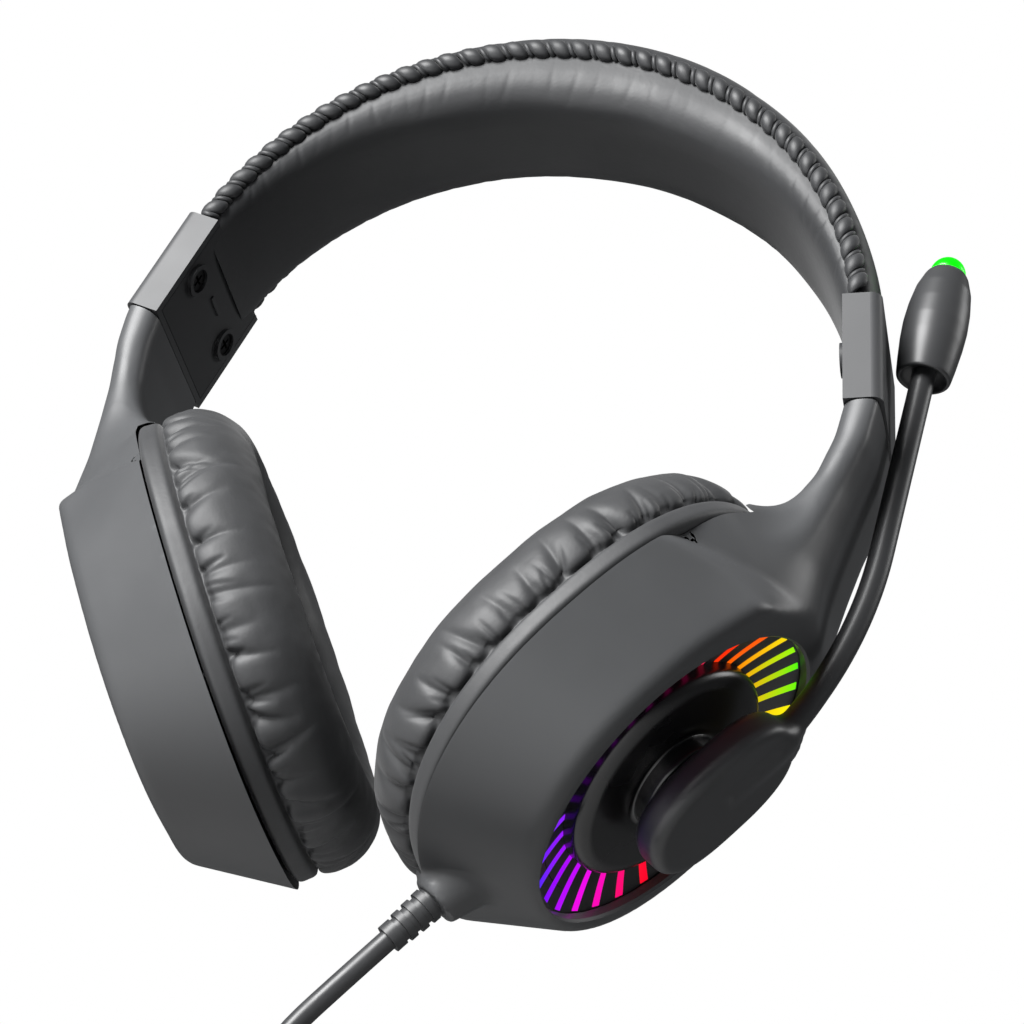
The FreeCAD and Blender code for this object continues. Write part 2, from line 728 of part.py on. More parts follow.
# ---------------------------------------------------------------- microphone
def mic_arm():
    """Pivot block with its collar and shaft."""
    wires = [
        oval_wire(MIC_BLOCK_A, MIC_BLOCK_HALF_T, MIC_BLOCK_HALF_Y, 2.7, MIC_BLOCK_T, MIC_BLOCK_Y),
        oval_wire(MIC_BLOCK_TOP_A, MIC_BLOCK_HALF_T, MIC_BLOCK_HALF_Y, 2.7, MIC_BLOCK_T, MIC_BLOCK_Y),
    ]
    body = between(wires)
    body = round_edges(body, 2.8, lambda edge: edge.BoundBox.XMin > MIC_BLOCK_TOP_A - 0.05)
    body = round_edges(body, 1.0, lambda edge: edge.BoundBox.XMax < MIC_BLOCK_A + 0.05)
    collar = disc_a(PIVOT_RADIUS, PIVOT_BASE_A + PIVOT_GAP, MIC_BLOCK_A + 0.5)
    shaft = disc_a(SHAFT_RADIUS, DISC_FOOT_A - DISC_THICK - 0.1, MIC_BLOCK_A)
    body = body.fuse([collar, shaft])
    body = body.cut(disc_a(1.2, DISC_FOOT_A - DISC_THICK - 1, DISC_FOOT_A + 5))
    return body.cut(boom_rod(BOOM_RADIUS))


def boom_bend_centre():
    """Centre of the boom's bend, in the a-t plane."""
    lean = math.radians(BOOM_LEAN_DEG)
    a = BOOM_START_A - BOOM_BEND_RADIUS * math.cos(lean)
    t = BOOM_START_T - BOOM_BEND_RADIUS * math.sin(lean)
    return Vector(a, 0, t)


def boom_at(degrees):
    """Point of the boom's bend at one direction."""
    angle = math.radians(degrees)
    reach = Vector(math.cos(angle), 0, math.sin(angle))
    return boom_bend_centre() + reach * BOOM_BEND_RADIUS


def boom_direction():
    """Direction of the boom beyond its bend."""
    angle = math.radians(BOOM_BEND_DEG)
    return Vector(-math.sin(angle), 0, math.cos(angle))


def boom_end():
    """Centre of the capsule's foot."""
    return boom_at(BOOM_BEND_DEG) + boom_direction() * BOOM_STRAIGHT


def boom_rod(radius):
    """Round boom: one bend and one straight run."""
    middle = boom_at((BOOM_LEAN_DEG + BOOM_BEND_DEG) / 2)
    bend = Part.Arc(boom_at(BOOM_LEAN_DEG), middle, boom_at(BOOM_BEND_DEG)).toShape()
    tail = boom_end() + boom_direction() * 4.0
    path = Part.Wire([bend, Part.makeLine(boom_at(BOOM_BEND_DEG), tail)])
    lean = math.radians(BOOM_LEAN_DEG)
    start = Vector(-math.sin(lean), 0, math.cos(lean))
    profile = Part.Wire([Part.Circle(boom_at(BOOM_LEAN_DEG), start, radius).toShape()])
    return path.makePipeShell([profile], True, False)


def boom_sweep():
    """Room above the shell that the boom swings through, all round its hinge."""
    below = BOOM_RADIUS + BOOM_CLEARANCE
    corners = []
    for degrees in (12, 16, 20, 24, 28, BOOM_BEND_DEG):
        angle = math.radians(degrees)
        corners.append(boom_at(degrees) - Vector(math.cos(angle), 0, math.sin(angle)) * below)
    corners.append(corners[-1] + boom_direction() * BOOM_STRAIGHT)
    top = BOOM_START_A + 20
    corners.append(Vector(top, 0, corners[-1].z))
    corners.append(Vector(top, 0, corners[0].z))
    outline = Part.Face(Part.makePolygon(corners + [corners[0]]))
    return outline.revolve(ZERO, X_AXIS, 360)


CAPSULE_FRAME = Placement(boom_end(), Rotation(Z_AXIS, boom_direction()))


def capsule_profile(points, closing):
    """Turn a smooth half outline, given as (radius, height), about the capsule's axis."""
    curve = Part.BSplineCurve()
    curve.interpolate([Vector(radius, 0, height) for radius, height in points])
    edges = [curve.toShape()]
    corners = [Vector(points[-1][0], 0, points[-1][1])]
    corners += [Vector(radius, 0, height) for radius, height in closing]
    corners.append(Vector(points[0][0], 0, points[0][1]))
    for first, second in zip(corners, corners[1:]):
        if first.distanceToPoint(second) > 1e-6:
            edges.append(Part.makeLine(first, second))
    face = Part.Face(Part.Wire(edges))
    return face.revolve(ZERO, Z_AXIS, 360)


def mic_capsule():
    """Torpedo-shaped housing with a collar, hollow for the microphone element."""
    top = CAPSULE_LENGTH - TIP_LENGTH
    outline = [(5.6, 3.2), (CAPSULE_RADIUS, 12.5), (5.7, 20.5), (3.7, top)]
    body = capsule_profile(outline, [(0, top), (0, 3.2)])
    collar = Part.makeCylinder(CAPSULE_COLLAR, 3.4, ZERO, Z_AXIS)
    body = body.fuse(collar)
    body = body.cut(Part.makeCylinder(MIC_ELEMENT_RADIUS + 0.1, 9.0, Vector(0, 0, 11.0), Z_AXIS))
    body = body.cut(Part.makeCylinder(1.0, 40, Vector(0, 0, 19.0), Z_AXIS))
    body = placed(body, CAPSULE_FRAME)
    return body.cut(boom_rod(BOOM_RADIUS))


def mic_tip():
    """Coloured end of the capsule."""
    top = CAPSULE_LENGTH - TIP_LENGTH
    outline = [(3.7, top), (2.9, top + 1.9), (1.5, CAPSULE_LENGTH - 0.3), (0.0, CAPSULE_LENGTH)]
    return placed(capsule_profile(outline, [(0, top)]), CAPSULE_FRAME)


def mic_element():
    """Microphone element inside the capsule."""
    can = Part.makeCylinder(MIC_ELEMENT_RADIUS, 5.0, Vector(0, 0, 13.0), Z_AXIS)
    return placed(can, CAPSULE_FRAME)


def pivot_washer():
    """Spring washer that gives the microphone's pivot its drag."""
    low = DISC_FOOT_A - DISC_THICK - 0.9
    return ring_a(6.4, 1.3, low, low + 0.7)


def pivot_screw():
    """Screw in the end of the microphone's shaft."""
    face = DISC_FOOT_A - DISC_THICK - 0.9
    head = disc_a(3.4, face - 1.4, face)
    shank = disc_a(1.2, face - 0.1, face + 5.5)
    recess = cross_recess(2.2, 0.9, Vector(face - 1.4, 0, 0))
    return head.fuse(shank).cut(recess)


# ---------------------------------------------------------------- pad, baffle and driver
def ear_pad():
    """Soft ring on the rim of the shell, with a rounded crown and a flat face for the head."""
    top = -PAD_CLEAR
    foot = -PAD_CLEAR - PAD_THICK
    outer = between([
        oval_wire(foot, PAD_HALF_T, PAD_HALF_Y, OVAL_POWER, PAD_SHIFT_T),
        oval_wire(top, PAD_HALF_T, PAD_HALF_Y, OVAL_POWER, PAD_SHIFT_T),
    ])
    outer = round_edges(outer, PAD_CROWN, lambda edge: edge.BoundBox.XMax < foot + 0.05)
    hole = between([
        oval_wire(foot - 1, PAD_HOLE_T, PAD_HOLE_Y, OVAL_POWER, PAD_SHIFT_T),
        oval_wire(top + 1, PAD_HOLE_T, PAD_HOLE_Y, OVAL_POWER, PAD_SHIFT_T),
    ])
    ring = outer.cut(hole)

    def inner_crown(edge):
        box = edge.BoundBox
        return box.XMax < foot + 0.05 and box.ZLength < 2 * PAD_HOLE_T + 2

    return round_edges(ring, 5.0, inner_crown)


def baffle():
    """Plate that closes the cup and carries the driver."""
    slope_t = (RIM_HALF_T - FACE_HALF_T) / FACE_A
    inset = SHELL_WALL + slope_t * (BAFFLE_A + BAFFLE_THICK) + 0.4
    half_t = RIM_HALF_T - inset
    half_y = RIM_HALF_Y - inset
    plate = between([
        oval_wire(BAFFLE_A, half_t, half_y, OVAL_POWER),
        oval_wire(BAFFLE_A + BAFFLE_THICK, half_t, half_y, OVAL_POWER),
    ])
    holes = [disc_a(1.3, 0, 6)]
    for ring, count in ((5.0, 6), (10.0, 12), (15.0, 18)):
        for k in range(count):
            angle = 2 * math.pi * k / count
            holes.append(disc_a(1.3, 0, 6, ring * math.sin(angle), ring * math.cos(angle)))
    holes += baffle_posts(0, 6, 1.35)
    return plate.cut(Part.makeCompound(holes))


def baffle_screws():
    """Four screws through the baffle into the shell's posts."""
    screws = []
    for head, shank in zip(
        baffle_posts(BAFFLE_A - 0.8, BAFFLE_A, 2.3),
        baffle_posts(BAFFLE_A - 0.1, BAFFLE_A + BAFFLE_THICK + 6.0, 1.2),
    ):
        screws.append(head.fuse(shank))
    return Part.makeCompound(screws)


def driver_frame():
    """Basket of the loudspeaker."""
    low = BAFFLE_A + BAFFLE_THICK
    wall = ring_a(DRIVER_RADIUS, CONE_RADIUS + 0.3, low, low + DRIVER_DEPTH)
    back = ring_a(DRIVER_RADIUS, MAGNET_RADIUS - 2.0, low + DRIVER_DEPTH - 0.8, low + DRIVER_DEPTH)
    return wall.fuse(back).removeSplitter()


def driver_cone():
    """Diaphragm of the loudspeaker."""
    low = BAFFLE_A + BAFFLE_THICK + 0.6
    edges = [
        Part.makeLine(Vector(low, 0, CONE_RADIUS), Vector(low + 0.4, 0, CONE_RADIUS)),
        Part.makeLine(Vector(low + 0.4, 0, CONE_RADIUS), Vector(low + 1.9, 0, 8.0)),
        Part.makeLine(Vector(low + 1.9, 0, 8.0), Vector(low + 0.9, 0, 0)),
        Part.makeLine(Vector(low + 0.9, 0, 0), Vector(low + 0.5, 0, 0)),
        Part.makeLine(Vector(low + 0.5, 0, 0), Vector(low + 1.5, 0, 8.0)),
        Part.makeLine(Vector(low + 1.5, 0, 8.0), Vector(low, 0, CONE_RADIUS)),
    ]
    return Part.Face(Part.Wire(edges)).revolve(ZERO, X_AXIS, 360)


def driver_magnet():
    """Magnet on the back of the loudspeaker."""
    low = BAFFLE_A + BAFFLE_THICK + DRIVER_DEPTH
    return disc_a(MAGNET_RADIUS, low, low + MAGNET_DEPTH)


def driver_cloth():
    """Thin cloth over the sound holes, inside the pad."""
    return disc_a(20.0, BAFFLE_A - 0.6, BAFFLE_A)


def audio_board():
    """Small circuit board between the driver and the cord's entry."""
    low = BAFFLE_A + BAFFLE_THICK + 1.0
    board = block(Vector(low, -12, -39.0), Vector(low + 1.2, 12, -25.5))
    chip = block(Vector(low + 1.1, -4, -34.0), Vector(low + 2.3, 4, -28.0))
    socket = block(Vector(low + 1.1, 6, -37.0), Vector(low + 4.0, 10, -30.0))
    return board.fuse([chip, socket])


# ---------------------------------------------------------------- cord
def cup_point(a, y, t):
    """Point of the left cup frame, in the room's frame."""
    return CUP_FRAME.multVec(Vector(a, y, t))


def strain_relief():
    """Ribbed sleeve at the cord's exit, with its neck inside the boss."""
    axis_foot = Vector(CORD_EXIT_A + 1.0, 0, BOSS_END_T + 3.0)
    sleeve = Part.makeCylinder(2.95, 3.0, axis_foot, -Z_AXIS)
    foot = axis_foot - Vector(0, 0, 3.0)
    sleeve = sleeve.fuse(Part.makeCone(3.0, 2.5, RELIEF_LENGTH - 2.2, foot, -Z_AXIS))
    rib_count = 3
    for k in range(rib_count):
        place = foot - Vector(0, 0, 0.7 + 2.7 * k)
        sleeve = sleeve.fuse(Part.makeCylinder(3.5 - 0.15 * k, 1.5, place, -Z_AXIS))
    collar = foot - Vector(0, 0, RELIEF_LENGTH - 2.4)
    sleeve = sleeve.fuse(Part.makeCylinder(2.95, 2.4, collar, -Z_AXIS))
    sleeve = sleeve.cut(Part.makeCylinder(CORD_RADIUS, 40, axis_foot + Vector(0, 0, 5), -Z_AXIS))
    return placed(sleeve, CUP_FRAME)


def cord_start():
    """Where the cord's jacket begins, inside the relief."""
    return cup_point(CORD_EXIT_A + 1.0, 0, BOSS_END_T + 2.0)


def rounded_path(points, report):
    """Straight runs joined by tangent arcs as large as each pair of runs allows."""
    edges = []
    here = points[0]
    for before, corner, after in zip(points, points[1:], points[2:]):
        first = corner - before
        second = after - corner
        turn = first.getAngle(second)
        radius = 0.45 * min(first.Length, second.Length) / math.tan(turn / 2)
        report.append(round(radius, 1))
        setback = 0.45 * min(first.Length, second.Length)
        enter = corner - first.normalize() * setback
        leave = corner + second.normalize() * setback
        halfway = (leave - enter) * 0.5 + enter
        towards = (corner - halfway).normalize()
        sagitta = radius * (1 - math.cos(turn / 2))
        edges.append(Part.makeLine(here, enter))
        edges.append(Part.Arc(enter, halfway + towards * sagitta, leave).toShape())
        here = leave
    edges.append(Part.makeLine(here, points[-1]))
    return Part.Wire(edges)


def cord_tube():
    """Free cord from the relief down to the coil."""
    start = cord_start()
    radii = []
    path = rounded_path([start] + CORD_ROUTE, radii)
    direction = (CORD_ROUTE[0] - start).normalize()
    profile = Part.Wire([Part.Circle(start, direction, CORD_RADIUS).toShape()])
    tube = path.makePipeShell([profile], True, False)
    expected = math.pi * CORD_RADIUS ** 2 * path.Length
    print("cord bend radii", radii, "run length", round(path.Length, 1))
    print("cord volume", round(tube.Volume, 1), "expected", round(expected, 1))
    return tube.cut(coil_solid())


def coil_solid():
    """Outer shape of the tied coil: a hanging ring with an oval section."""
    centre = COIL_CENTRE + Vector(COIL_TURN_RADIUS, 0, 0)
    wide = centre + Vector(COIL_HALF_WIDTH, 0, 0)
    deep = centre + Vector(0, COIL_HALF_DEPTH, 0)
    section = Part.Face(Part.Wire([Part.Ellipse(wide, deep, centre).toShape()]))
    return section.revolve(COIL_CENTRE, Y_AXIS, 360)


def cord_tie():
    """Strap round the coil's bundle, at its top."""
    middle = COIL_CENTRE + Vector(0, 0, COIL_TURN_RADIUS)
    half_x = 4.0
    outer = block(
        middle - Vector(half_x, COIL_HALF_DEPTH + 1.2, COIL_HALF_WIDTH + 1.2),
        middle + Vector(half_x, COIL_HALF_DEPTH + 1.2, COIL_HALF_WIDTH + 1.2),
    )
    outer = round_edges(outer, 3.5, lambda edge: edge.BoundBox.XLength > half_x)
    return outer.cut(coil_solid())


def plug_overmould():
    """Moulded grip of the plug, hanging at the coil's outer side."""
    low = PLUG_FOOT + Vector(-PLUG_THICK / 2, -PLUG_WIDTH / 2, -PLUG_LENGTH)
    grip = block(low, low + Vector(PLUG_THICK, PLUG_WIDTH, PLUG_LENGTH))
    grip = round_edges(grip, 1.6, lambda edge: edge.BoundBox.ZLength > PLUG_LENGTH / 2)
    return grip.cut(coil_solid())


def plug_shell():
    """Metal shell of the USB type A plug."""
    end = PLUG_FOOT - Vector(0, 0, PLUG_LENGTH)
    low = end + Vector(-USB_THICK / 2, -USB_WIDTH / 2, -USB_LENGTH + 4.0)
    high = end + Vector(USB_THICK / 2, USB_WIDTH / 2, 0)
    shell = block(low, high)
    wall = 0.3
    inner = block(low + Vector(wall, wall, -1), high - Vector(wall, wall, 1))
    shell = shell.cut(inner)
    for y in (-2.8, 2.8):
        hole = block(
            Vector(end.x - 5, end.y + y - 1.1, end.z - 8.5),
            Vector(end.x + 5, end.y + y + 1.1, end.z - 6.3),
        )
        shell = shell.cut(hole)
    return shell.cut(coil_solid())


def plug_tongue():
    """Plastic tongue with the plug's contacts."""
    end = PLUG_FOOT - Vector(0, 0, PLUG_LENGTH + 1.0)
    low = end + Vector(-USB_THICK / 2 + 0.32, -USB_WIDTH / 2 + 0.35, -USB_LENGTH + 6.0)
    return block(low, Vector(end.x - 0.2, end.y + USB_WIDTH / 2 - 0.35, end.z)).cut(coil_solid())


# ---------------------------------------------------------------- build
def build_band():
    """Pieces of the headband and its caps."""
    save(headband_spring(), "headband_spring")
    save(headband_cover(), "headband_top_cover")
    save(headband_cushion(), "headband_cushion")
    save(band_rod(-0.6, -BAND_HALF_DEPTH, LACE_RADIUS, 0.3), "lacing_front")
    save(band_rod(-0.6, BAND_HALF_DEPTH, LACE_RADIUS, 0.3), "lacing_rear")
    save(band_rod(-WIRE_INSET, WIRE_Y, WIRE_RADIUS, -2.0), "crossover_wire")
    for side in ("left", "right"):
        save(on_side(placed(end_cap(), CAP_FRAME), side), side + "_end_cap")
        save(on_side(placed(end_plate(), CAP_FRAME), side), side + "_end_plate")
        save(on_side(placed(end_screws(), CAP_FRAME), side), side + "_end_screws")


def build_cup(side):
    """Pieces of one ear cup."""
    save(on_side(cup_shell(side), side), side + "_cup_shell")
    save(on_side(arm_cover(), side), side + "_arm_cover")
    save(on_side(placed(slider(), CAP_FRAME), side), side + "_slider")
    save(on_side(placed(slider_rivets(0.0), CAP_FRAME), side), side + "_slider_rivets")
    pieces = {
        "_slot_disc": slot_disc(),
        "_light_ring": light_ring(),
        "_led_board": led_board(),
        "_hub": hub(side),
        "_ear_pad": ear_pad(),
        "_baffle": baffle(),
        "_baffle_screws": baffle_screws(),
        "_driver_frame": driver_frame(),
        "_driver_cone": driver_cone(),
        "_driver_magnet": driver_magnet(),
        "_driver_cloth": driver_cloth(),
    }
    for name, shape in pieces.items():
        save(on_side(placed(shape, CUP_FRAME), side), side + name)


def build_microphone():
    """Pieces of the microphone on the left cup."""
    save(placed(mic_arm(), CUP_FRAME), "mic_arm")
    save(placed(boom_rod(BOOM_RADIUS), CUP_FRAME), "mic_boom")
    save(placed(mic_capsule(), CUP_FRAME), "mic_capsule")
    save(placed(mic_tip(), CUP_FRAME), "mic_tip")
    save(placed(mic_element(), CUP_FRAME), "mic_element")
    save(placed(pivot_washer(), CUP_FRAME), "mic_pivot_washer")
    save(placed(pivot_screw(), CUP_FRAME), "mic_pivot_screw")


def build_cord():
    """Pieces of the cord on the left cup."""
    save(placed(audio_board(), CUP_FRAME), "audio_board")
    save(strain_relief(), "strain_relief")
    save(cord_tube(), "cord_tube")
    save(coil_solid(), "cord_coil")
    save(cord_tie(), "cord_tie")
    save(plug_overmould(), "plug_grip")
    save(plug_shell(), "plug_shell")
    save(plug_tongue(), "plug_tongue")


os.makedirs("parts", exist_ok=True)
build_band()
build_cup("left")
build_cup("right")
build_microphone()
build_cord()
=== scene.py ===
# Looks of the gaming headset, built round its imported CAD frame.
# Shapes are worked out in millimetres and written to the meshes in metres. Two local frames are used:
#   CUP  a = outward normal of the left cup, y = front to back, t = up along the cup
#   CAP  u = outward across the left end cap, y = front to back, w = up along the slider
# The right side is the mirror image of the left.

import json
import math

import bmesh
import bpy
import numpy as np
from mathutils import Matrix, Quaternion, Vector, noise


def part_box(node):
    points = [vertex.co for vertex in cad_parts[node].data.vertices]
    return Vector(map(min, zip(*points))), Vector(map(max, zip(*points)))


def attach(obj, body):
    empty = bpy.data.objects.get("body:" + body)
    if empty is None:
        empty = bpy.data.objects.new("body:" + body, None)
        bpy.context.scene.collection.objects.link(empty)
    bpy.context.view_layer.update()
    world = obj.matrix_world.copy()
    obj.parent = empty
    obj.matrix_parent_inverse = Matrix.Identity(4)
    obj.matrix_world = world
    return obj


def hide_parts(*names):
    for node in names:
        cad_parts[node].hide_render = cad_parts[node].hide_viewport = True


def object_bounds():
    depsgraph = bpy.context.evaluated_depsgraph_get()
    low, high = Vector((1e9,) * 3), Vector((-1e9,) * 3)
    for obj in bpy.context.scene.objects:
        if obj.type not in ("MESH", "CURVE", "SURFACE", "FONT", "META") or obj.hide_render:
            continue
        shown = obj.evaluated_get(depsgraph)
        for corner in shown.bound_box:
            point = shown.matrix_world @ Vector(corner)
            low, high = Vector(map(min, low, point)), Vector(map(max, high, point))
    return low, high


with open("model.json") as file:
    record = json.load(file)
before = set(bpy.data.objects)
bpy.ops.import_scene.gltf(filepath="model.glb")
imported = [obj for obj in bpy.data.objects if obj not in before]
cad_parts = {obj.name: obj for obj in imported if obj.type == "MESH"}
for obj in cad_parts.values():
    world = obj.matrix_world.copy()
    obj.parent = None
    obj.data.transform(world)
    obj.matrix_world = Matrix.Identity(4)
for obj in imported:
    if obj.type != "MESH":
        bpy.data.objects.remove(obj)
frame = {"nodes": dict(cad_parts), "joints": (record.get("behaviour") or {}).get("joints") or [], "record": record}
CAD_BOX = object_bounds()
MM = 0.001
TAU = 2 * math.pi


# ---- local frames, read from the CAD model
class Axes:
    """A local frame in the row frame: an origin and three unit axes, the second of them +Y."""

    def __init__(self, origin, third):
        self.origin = np.array(origin, float)
        third = np.array(third, float) / np.linalg.norm(third)
        second = np.array([0.0, 1.0, 0.0])
        self.rows = np.array([np.cross(second, third), second, third])

    def room(self, points):
        """Local points in the row frame."""
        return self.origin + np.asarray(points, float) @ self.rows

    def local(self, points):
        """Row frame points in this frame."""
        return (np.asarray(points, float) - self.origin) @ self.rows.T


def node_points(node):
    """Vertices of a CAD node, in millimetres."""
    return np.array([v.co for v in frame["nodes"][node].data.vertices], float) / MM


def local_box(node, axes):
    """Lowest and highest corner of a CAD node in a local frame."""
    points = axes.local(node_points(node))
    return points.min(0), points.max(0)


JOINTS = {joint["name"]: joint for joint in frame["joints"]}
hinge = JOINTS["mic_hinge"]
normal = np.array(hinge["axis"])
CUP = Axes(np.array(hinge["pos_m"]) / MM, [-normal[2], 0.0, normal[0]])
cap_up = -np.array(JOINTS["left_cup_slide"]["axis"])
cap_low, cap_high = local_box("left_end_cap", Axes((0, 0, 0), cap_up))
SEAM = 0.3
CAP = Axes(Axes((0, 0, 0), cap_up).room([(cap_low[0] + cap_high[0]) / 2, 0, cap_low[2] - SEAM]), cap_up)

# cup shell, in the cup frame
RIM_HALF_T = 47.8
RIM_HALF_Y = 45.1
FACE_A = 19.4
FACE_HALF_T = 37.4
FACE_HALF_Y = 34.9
FACE_SHIFT_T = 2.0
OVAL_POWER = 2.3
SHELL_WALL = 2.2
MOUTH_HALF_T = 34.9
MOUTH_HALF_Y = 30.8
MOUTH_SHIFT_T = 0.2
DISC_EDGE_A = 16.9
DISC_FOOT_A = 13.6
DISC_INNER_RADIUS = 23.0

# headband, an ellipse in the XZ plane through the laced edges
BAND_CENTRE_Z = 72.0
BAND_HALF_X = 75.0
BAND_HEIGHT = 80.0


# ---- mesh helpers
def mirrored(points):
    """Points on the other side of the YZ plane."""
    return np.asarray(points, float) * np.array([-1.0, 1.0, 1.0])


def new_object(name, data):
    """New object in the scene."""
    obj = bpy.data.objects.new(name, data)
    bpy.context.scene.collection.objects.link(obj)
    return obj


def new_mesh(name, points, faces):
    """New mesh from row frame points in millimetres."""
    mesh = bpy.data.meshes.new(name)
    mesh.from_pydata((np.asarray(points, float) * MM).tolist(), [], [list(map(int, f)) for f in faces])
    return mesh


def add_piece(name, points, faces, body, slot, replaced=(), sharp=40.0):
    """New closed piece riding on a body, shaded smooth up to an angle, in the finish of its slot."""
    mesh = new_mesh(name, points, faces)
    mesh.validate()
    mesh.update()
    obj = new_object(name, mesh)
    mesh.shade_smooth()
    mesh.set_sharp_from_angle(angle=math.radians(sharp))
    mesh.materials.append(MATERIALS[slot])
    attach(obj, body)
    if replaced:
        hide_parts(*replaced)
    fixed_normals(mesh)
    return obj


def add_cup_piece(side, name, points, faces, slot, replaced=(), sharp=40.0):
    """Piece of one ear cup from points of the left side, which the right side mirrors."""
    if side == "right":
        points = mirrored(points)
    nodes = [side + "_" + node for node in replaced]
    return add_piece(side + "_" + name, points, faces, side + "_cup", slot, nodes, sharp)


def grid_faces(rows, cols, wrap_rows=False, wrap_cols=False, start=0):
    """Quads of a grid of points stored row by row."""
    faces = []
    for i in range(rows if wrap_rows else rows - 1):
        for j in range(cols if wrap_cols else cols - 1):
            a = start + i * cols + j
            b = start + i * cols + (j + 1) % cols
            c = start + (i + 1) % rows * cols + (j + 1) % cols
            d = start + (i + 1) % rows * cols + j
            faces.append((a, b, c, d))
    return faces


def capped_faces(rows, cols, start=0):
    """Faces of a closed tube grid with its two ends filled."""
    faces = grid_faces(rows, cols, wrap_cols=True, start=start)
    end = start + (rows - 1) * cols
    return faces + [tuple(range(start, start + cols))[::-1], tuple(range(end, end + cols))]


def fixed_normals(mesh):
    """Make the faces of a closed mesh point outwards."""
    bm = bmesh.new()
    bm.from_mesh(mesh)
    bmesh.ops.recalc_face_normals(bm, faces=bm.faces)
    bm.to_mesh(mesh)
    bm.free()


def lathe(profile, segments):
    """Points and faces of an outline of (radius, height) turned about the third axis. The ends close."""
    points = []
    faces = []
    for radius, height in profile:
        for k in range(segments):
            angle = TAU * k / segments
            points.append((radius * math.cos(angle), radius * math.sin(angle), height))
    faces += grid_faces(len(profile), segments, wrap_cols=True)
    for row in (0, len(profile) - 1):
        points.append((0.0, 0.0, profile[row][1]))
        centre = len(points) - 1
        for k in range(segments):
            a = row * segments + k
            b = row * segments + (k + 1) % segments
            faces.append((centre, b, a) if row == 0 else (centre, a, b))
    return np.array(points), faces


def rounded_outline(corners, radius, steps=5):
    """Outline with each inner corner rounded, from (radius, height) corners."""
    outline = [corners[0]]
    for before, corner, after in zip(corners, corners[1:], corners[2:]):
        corner = np.array(corner, float)
        back = np.array(before, float) - corner
        forward = np.array(after, float) - corner
        reach = min(radius, 0.45 * np.linalg.norm(back), 0.45 * np.linalg.norm(forward))
        first = corner + back / np.linalg.norm(back) * reach
        last = corner + forward / np.linalg.norm(forward) * reach
        for k in range(steps + 1):
            s = k / steps
            outline.append(tuple((1 - s) ** 2 * first + 2 * s * (1 - s) * corner + s * s * last))
    outline.append(corners[-1])
    return outline


def about(axes, points, origin=(0, 0, 0), direction=(1, 0, 0)):
    """Lathe points moved so that their axis runs from an origin along a direction of a local frame."""
    turn = Vector(direction).to_track_quat("Z", "Y").to_matrix()
    moved = np.asarray(points, float) @ np.array(turn).T + np.array(origin, float)
    return axes.room(moved)


def wobble(points, scale, seed):
    """Smooth noise from -1 to 1 at each point, with a feature size in millimetres."""
    offset = Vector((seed * 17.3, seed * 5.7, seed * 9.1))
    return np.array([noise.noise(Vector(p) / scale + offset) for p in np.asarray(points, float)])


def smooth_min(a, b, reach):
    """Lower of two fields, blended over a reach."""
    h = np.clip(0.5 + 0.5 * (b - a) / reach, 0, 1)
    return b * (1 - h) + a * h - reach * h * (1 - h)


def smooth_max(a, b, reach):
    """Higher of two fields, blended over a reach."""
    return -smooth_min(-a, -b, reach)


def oval_distance(y, t, half_y, half_t, power=OVAL_POWER):
    """Radial distance outside a superellipse; negative inside."""
    gauge = (np.abs(y / half_y) ** power + np.abs(t / half_t) ** power) ** (1 / power)
    reach = np.hypot(y, t)
    return reach - reach / np.maximum(gauge, 1e-6)


def iso_mesh(field, low, high, step):
    """Points and quads of the closed surface where a field of the row frame is zero."""
    low = np.array(low, float)
    counts = np.ceil((np.array(high, float) - low) / step).astype(int) + 1
    axes = [low[k] + step * np.arange(counts[k]) for k in range(3)]
    value = field(*np.meshgrid(*axes, indexing="ij"))
    inside = value < 0
    cells = counts - 1

    def corner(array, offset):
        i, j, k = offset
        return array[i:i + cells[0], j:j + cells[1], k:k + cells[2]]

    offsets = [(i, j, k) for i in (0, 1) for j in (0, 1) for k in (0, 1)]
    total = sum(corner(inside, o).astype(int) for o in offsets)
    active = (total > 0) & (total < 8)
    place = np.zeros((active.sum(), 3))
    crossings = np.zeros(active.sum())
    for first in offsets:
        for axis in range(3):
            if first[axis]:
                continue
            second = list(first)
            second[axis] = 1
            va = corner(value, first)[active]
            vb = corner(value, second)[active]
            cross = (va < 0) != (vb < 0)
            share = np.where(cross, va / np.where(cross, va - vb, 1), 0)
            for k in range(3):
                along = first[k] + (share if k == axis else 0)
                place[:, k] += np.where(cross, along, 0)
            crossings += cross
    place /= crossings[:, None]
    where = np.argwhere(active)
    points = low + (where + place) * step
    index = -np.ones(active.shape, int)
    index[active] = np.arange(len(points))
    faces = []
    for axis in range(3):
        one, two = [k for k in range(3) if k != axis]
        near = [slice(1, cells[k]) for k in range(3)]
        near[axis] = slice(0, cells[axis])
        far = list(near)
        far[axis] = slice(1, cells[axis] + 1)
        a = inside[tuple(near)]
        b = inside[tuple(far)]
        spots = np.argwhere(a != b)
        out = a[tuple(spots.T)]
        base = spots.copy()
        base[:, one] += 1
        base[:, two] += 1
        quad = []
        for d_one, d_two in ((0, 0), (1, 0), (1, 1), (0, 1)):
            cell = base.copy()
            cell[:, one] -= d_one
            cell[:, two] -= d_two
            quad.append(index[tuple(cell.T)])
        quad = np.array(quad).T
        swap = out if axis == 1 else ~out
        quad[swap] = quad[swap][:, ::-1]
        faces.append(quad)
    return settle(field, points), np.vstack(faces)


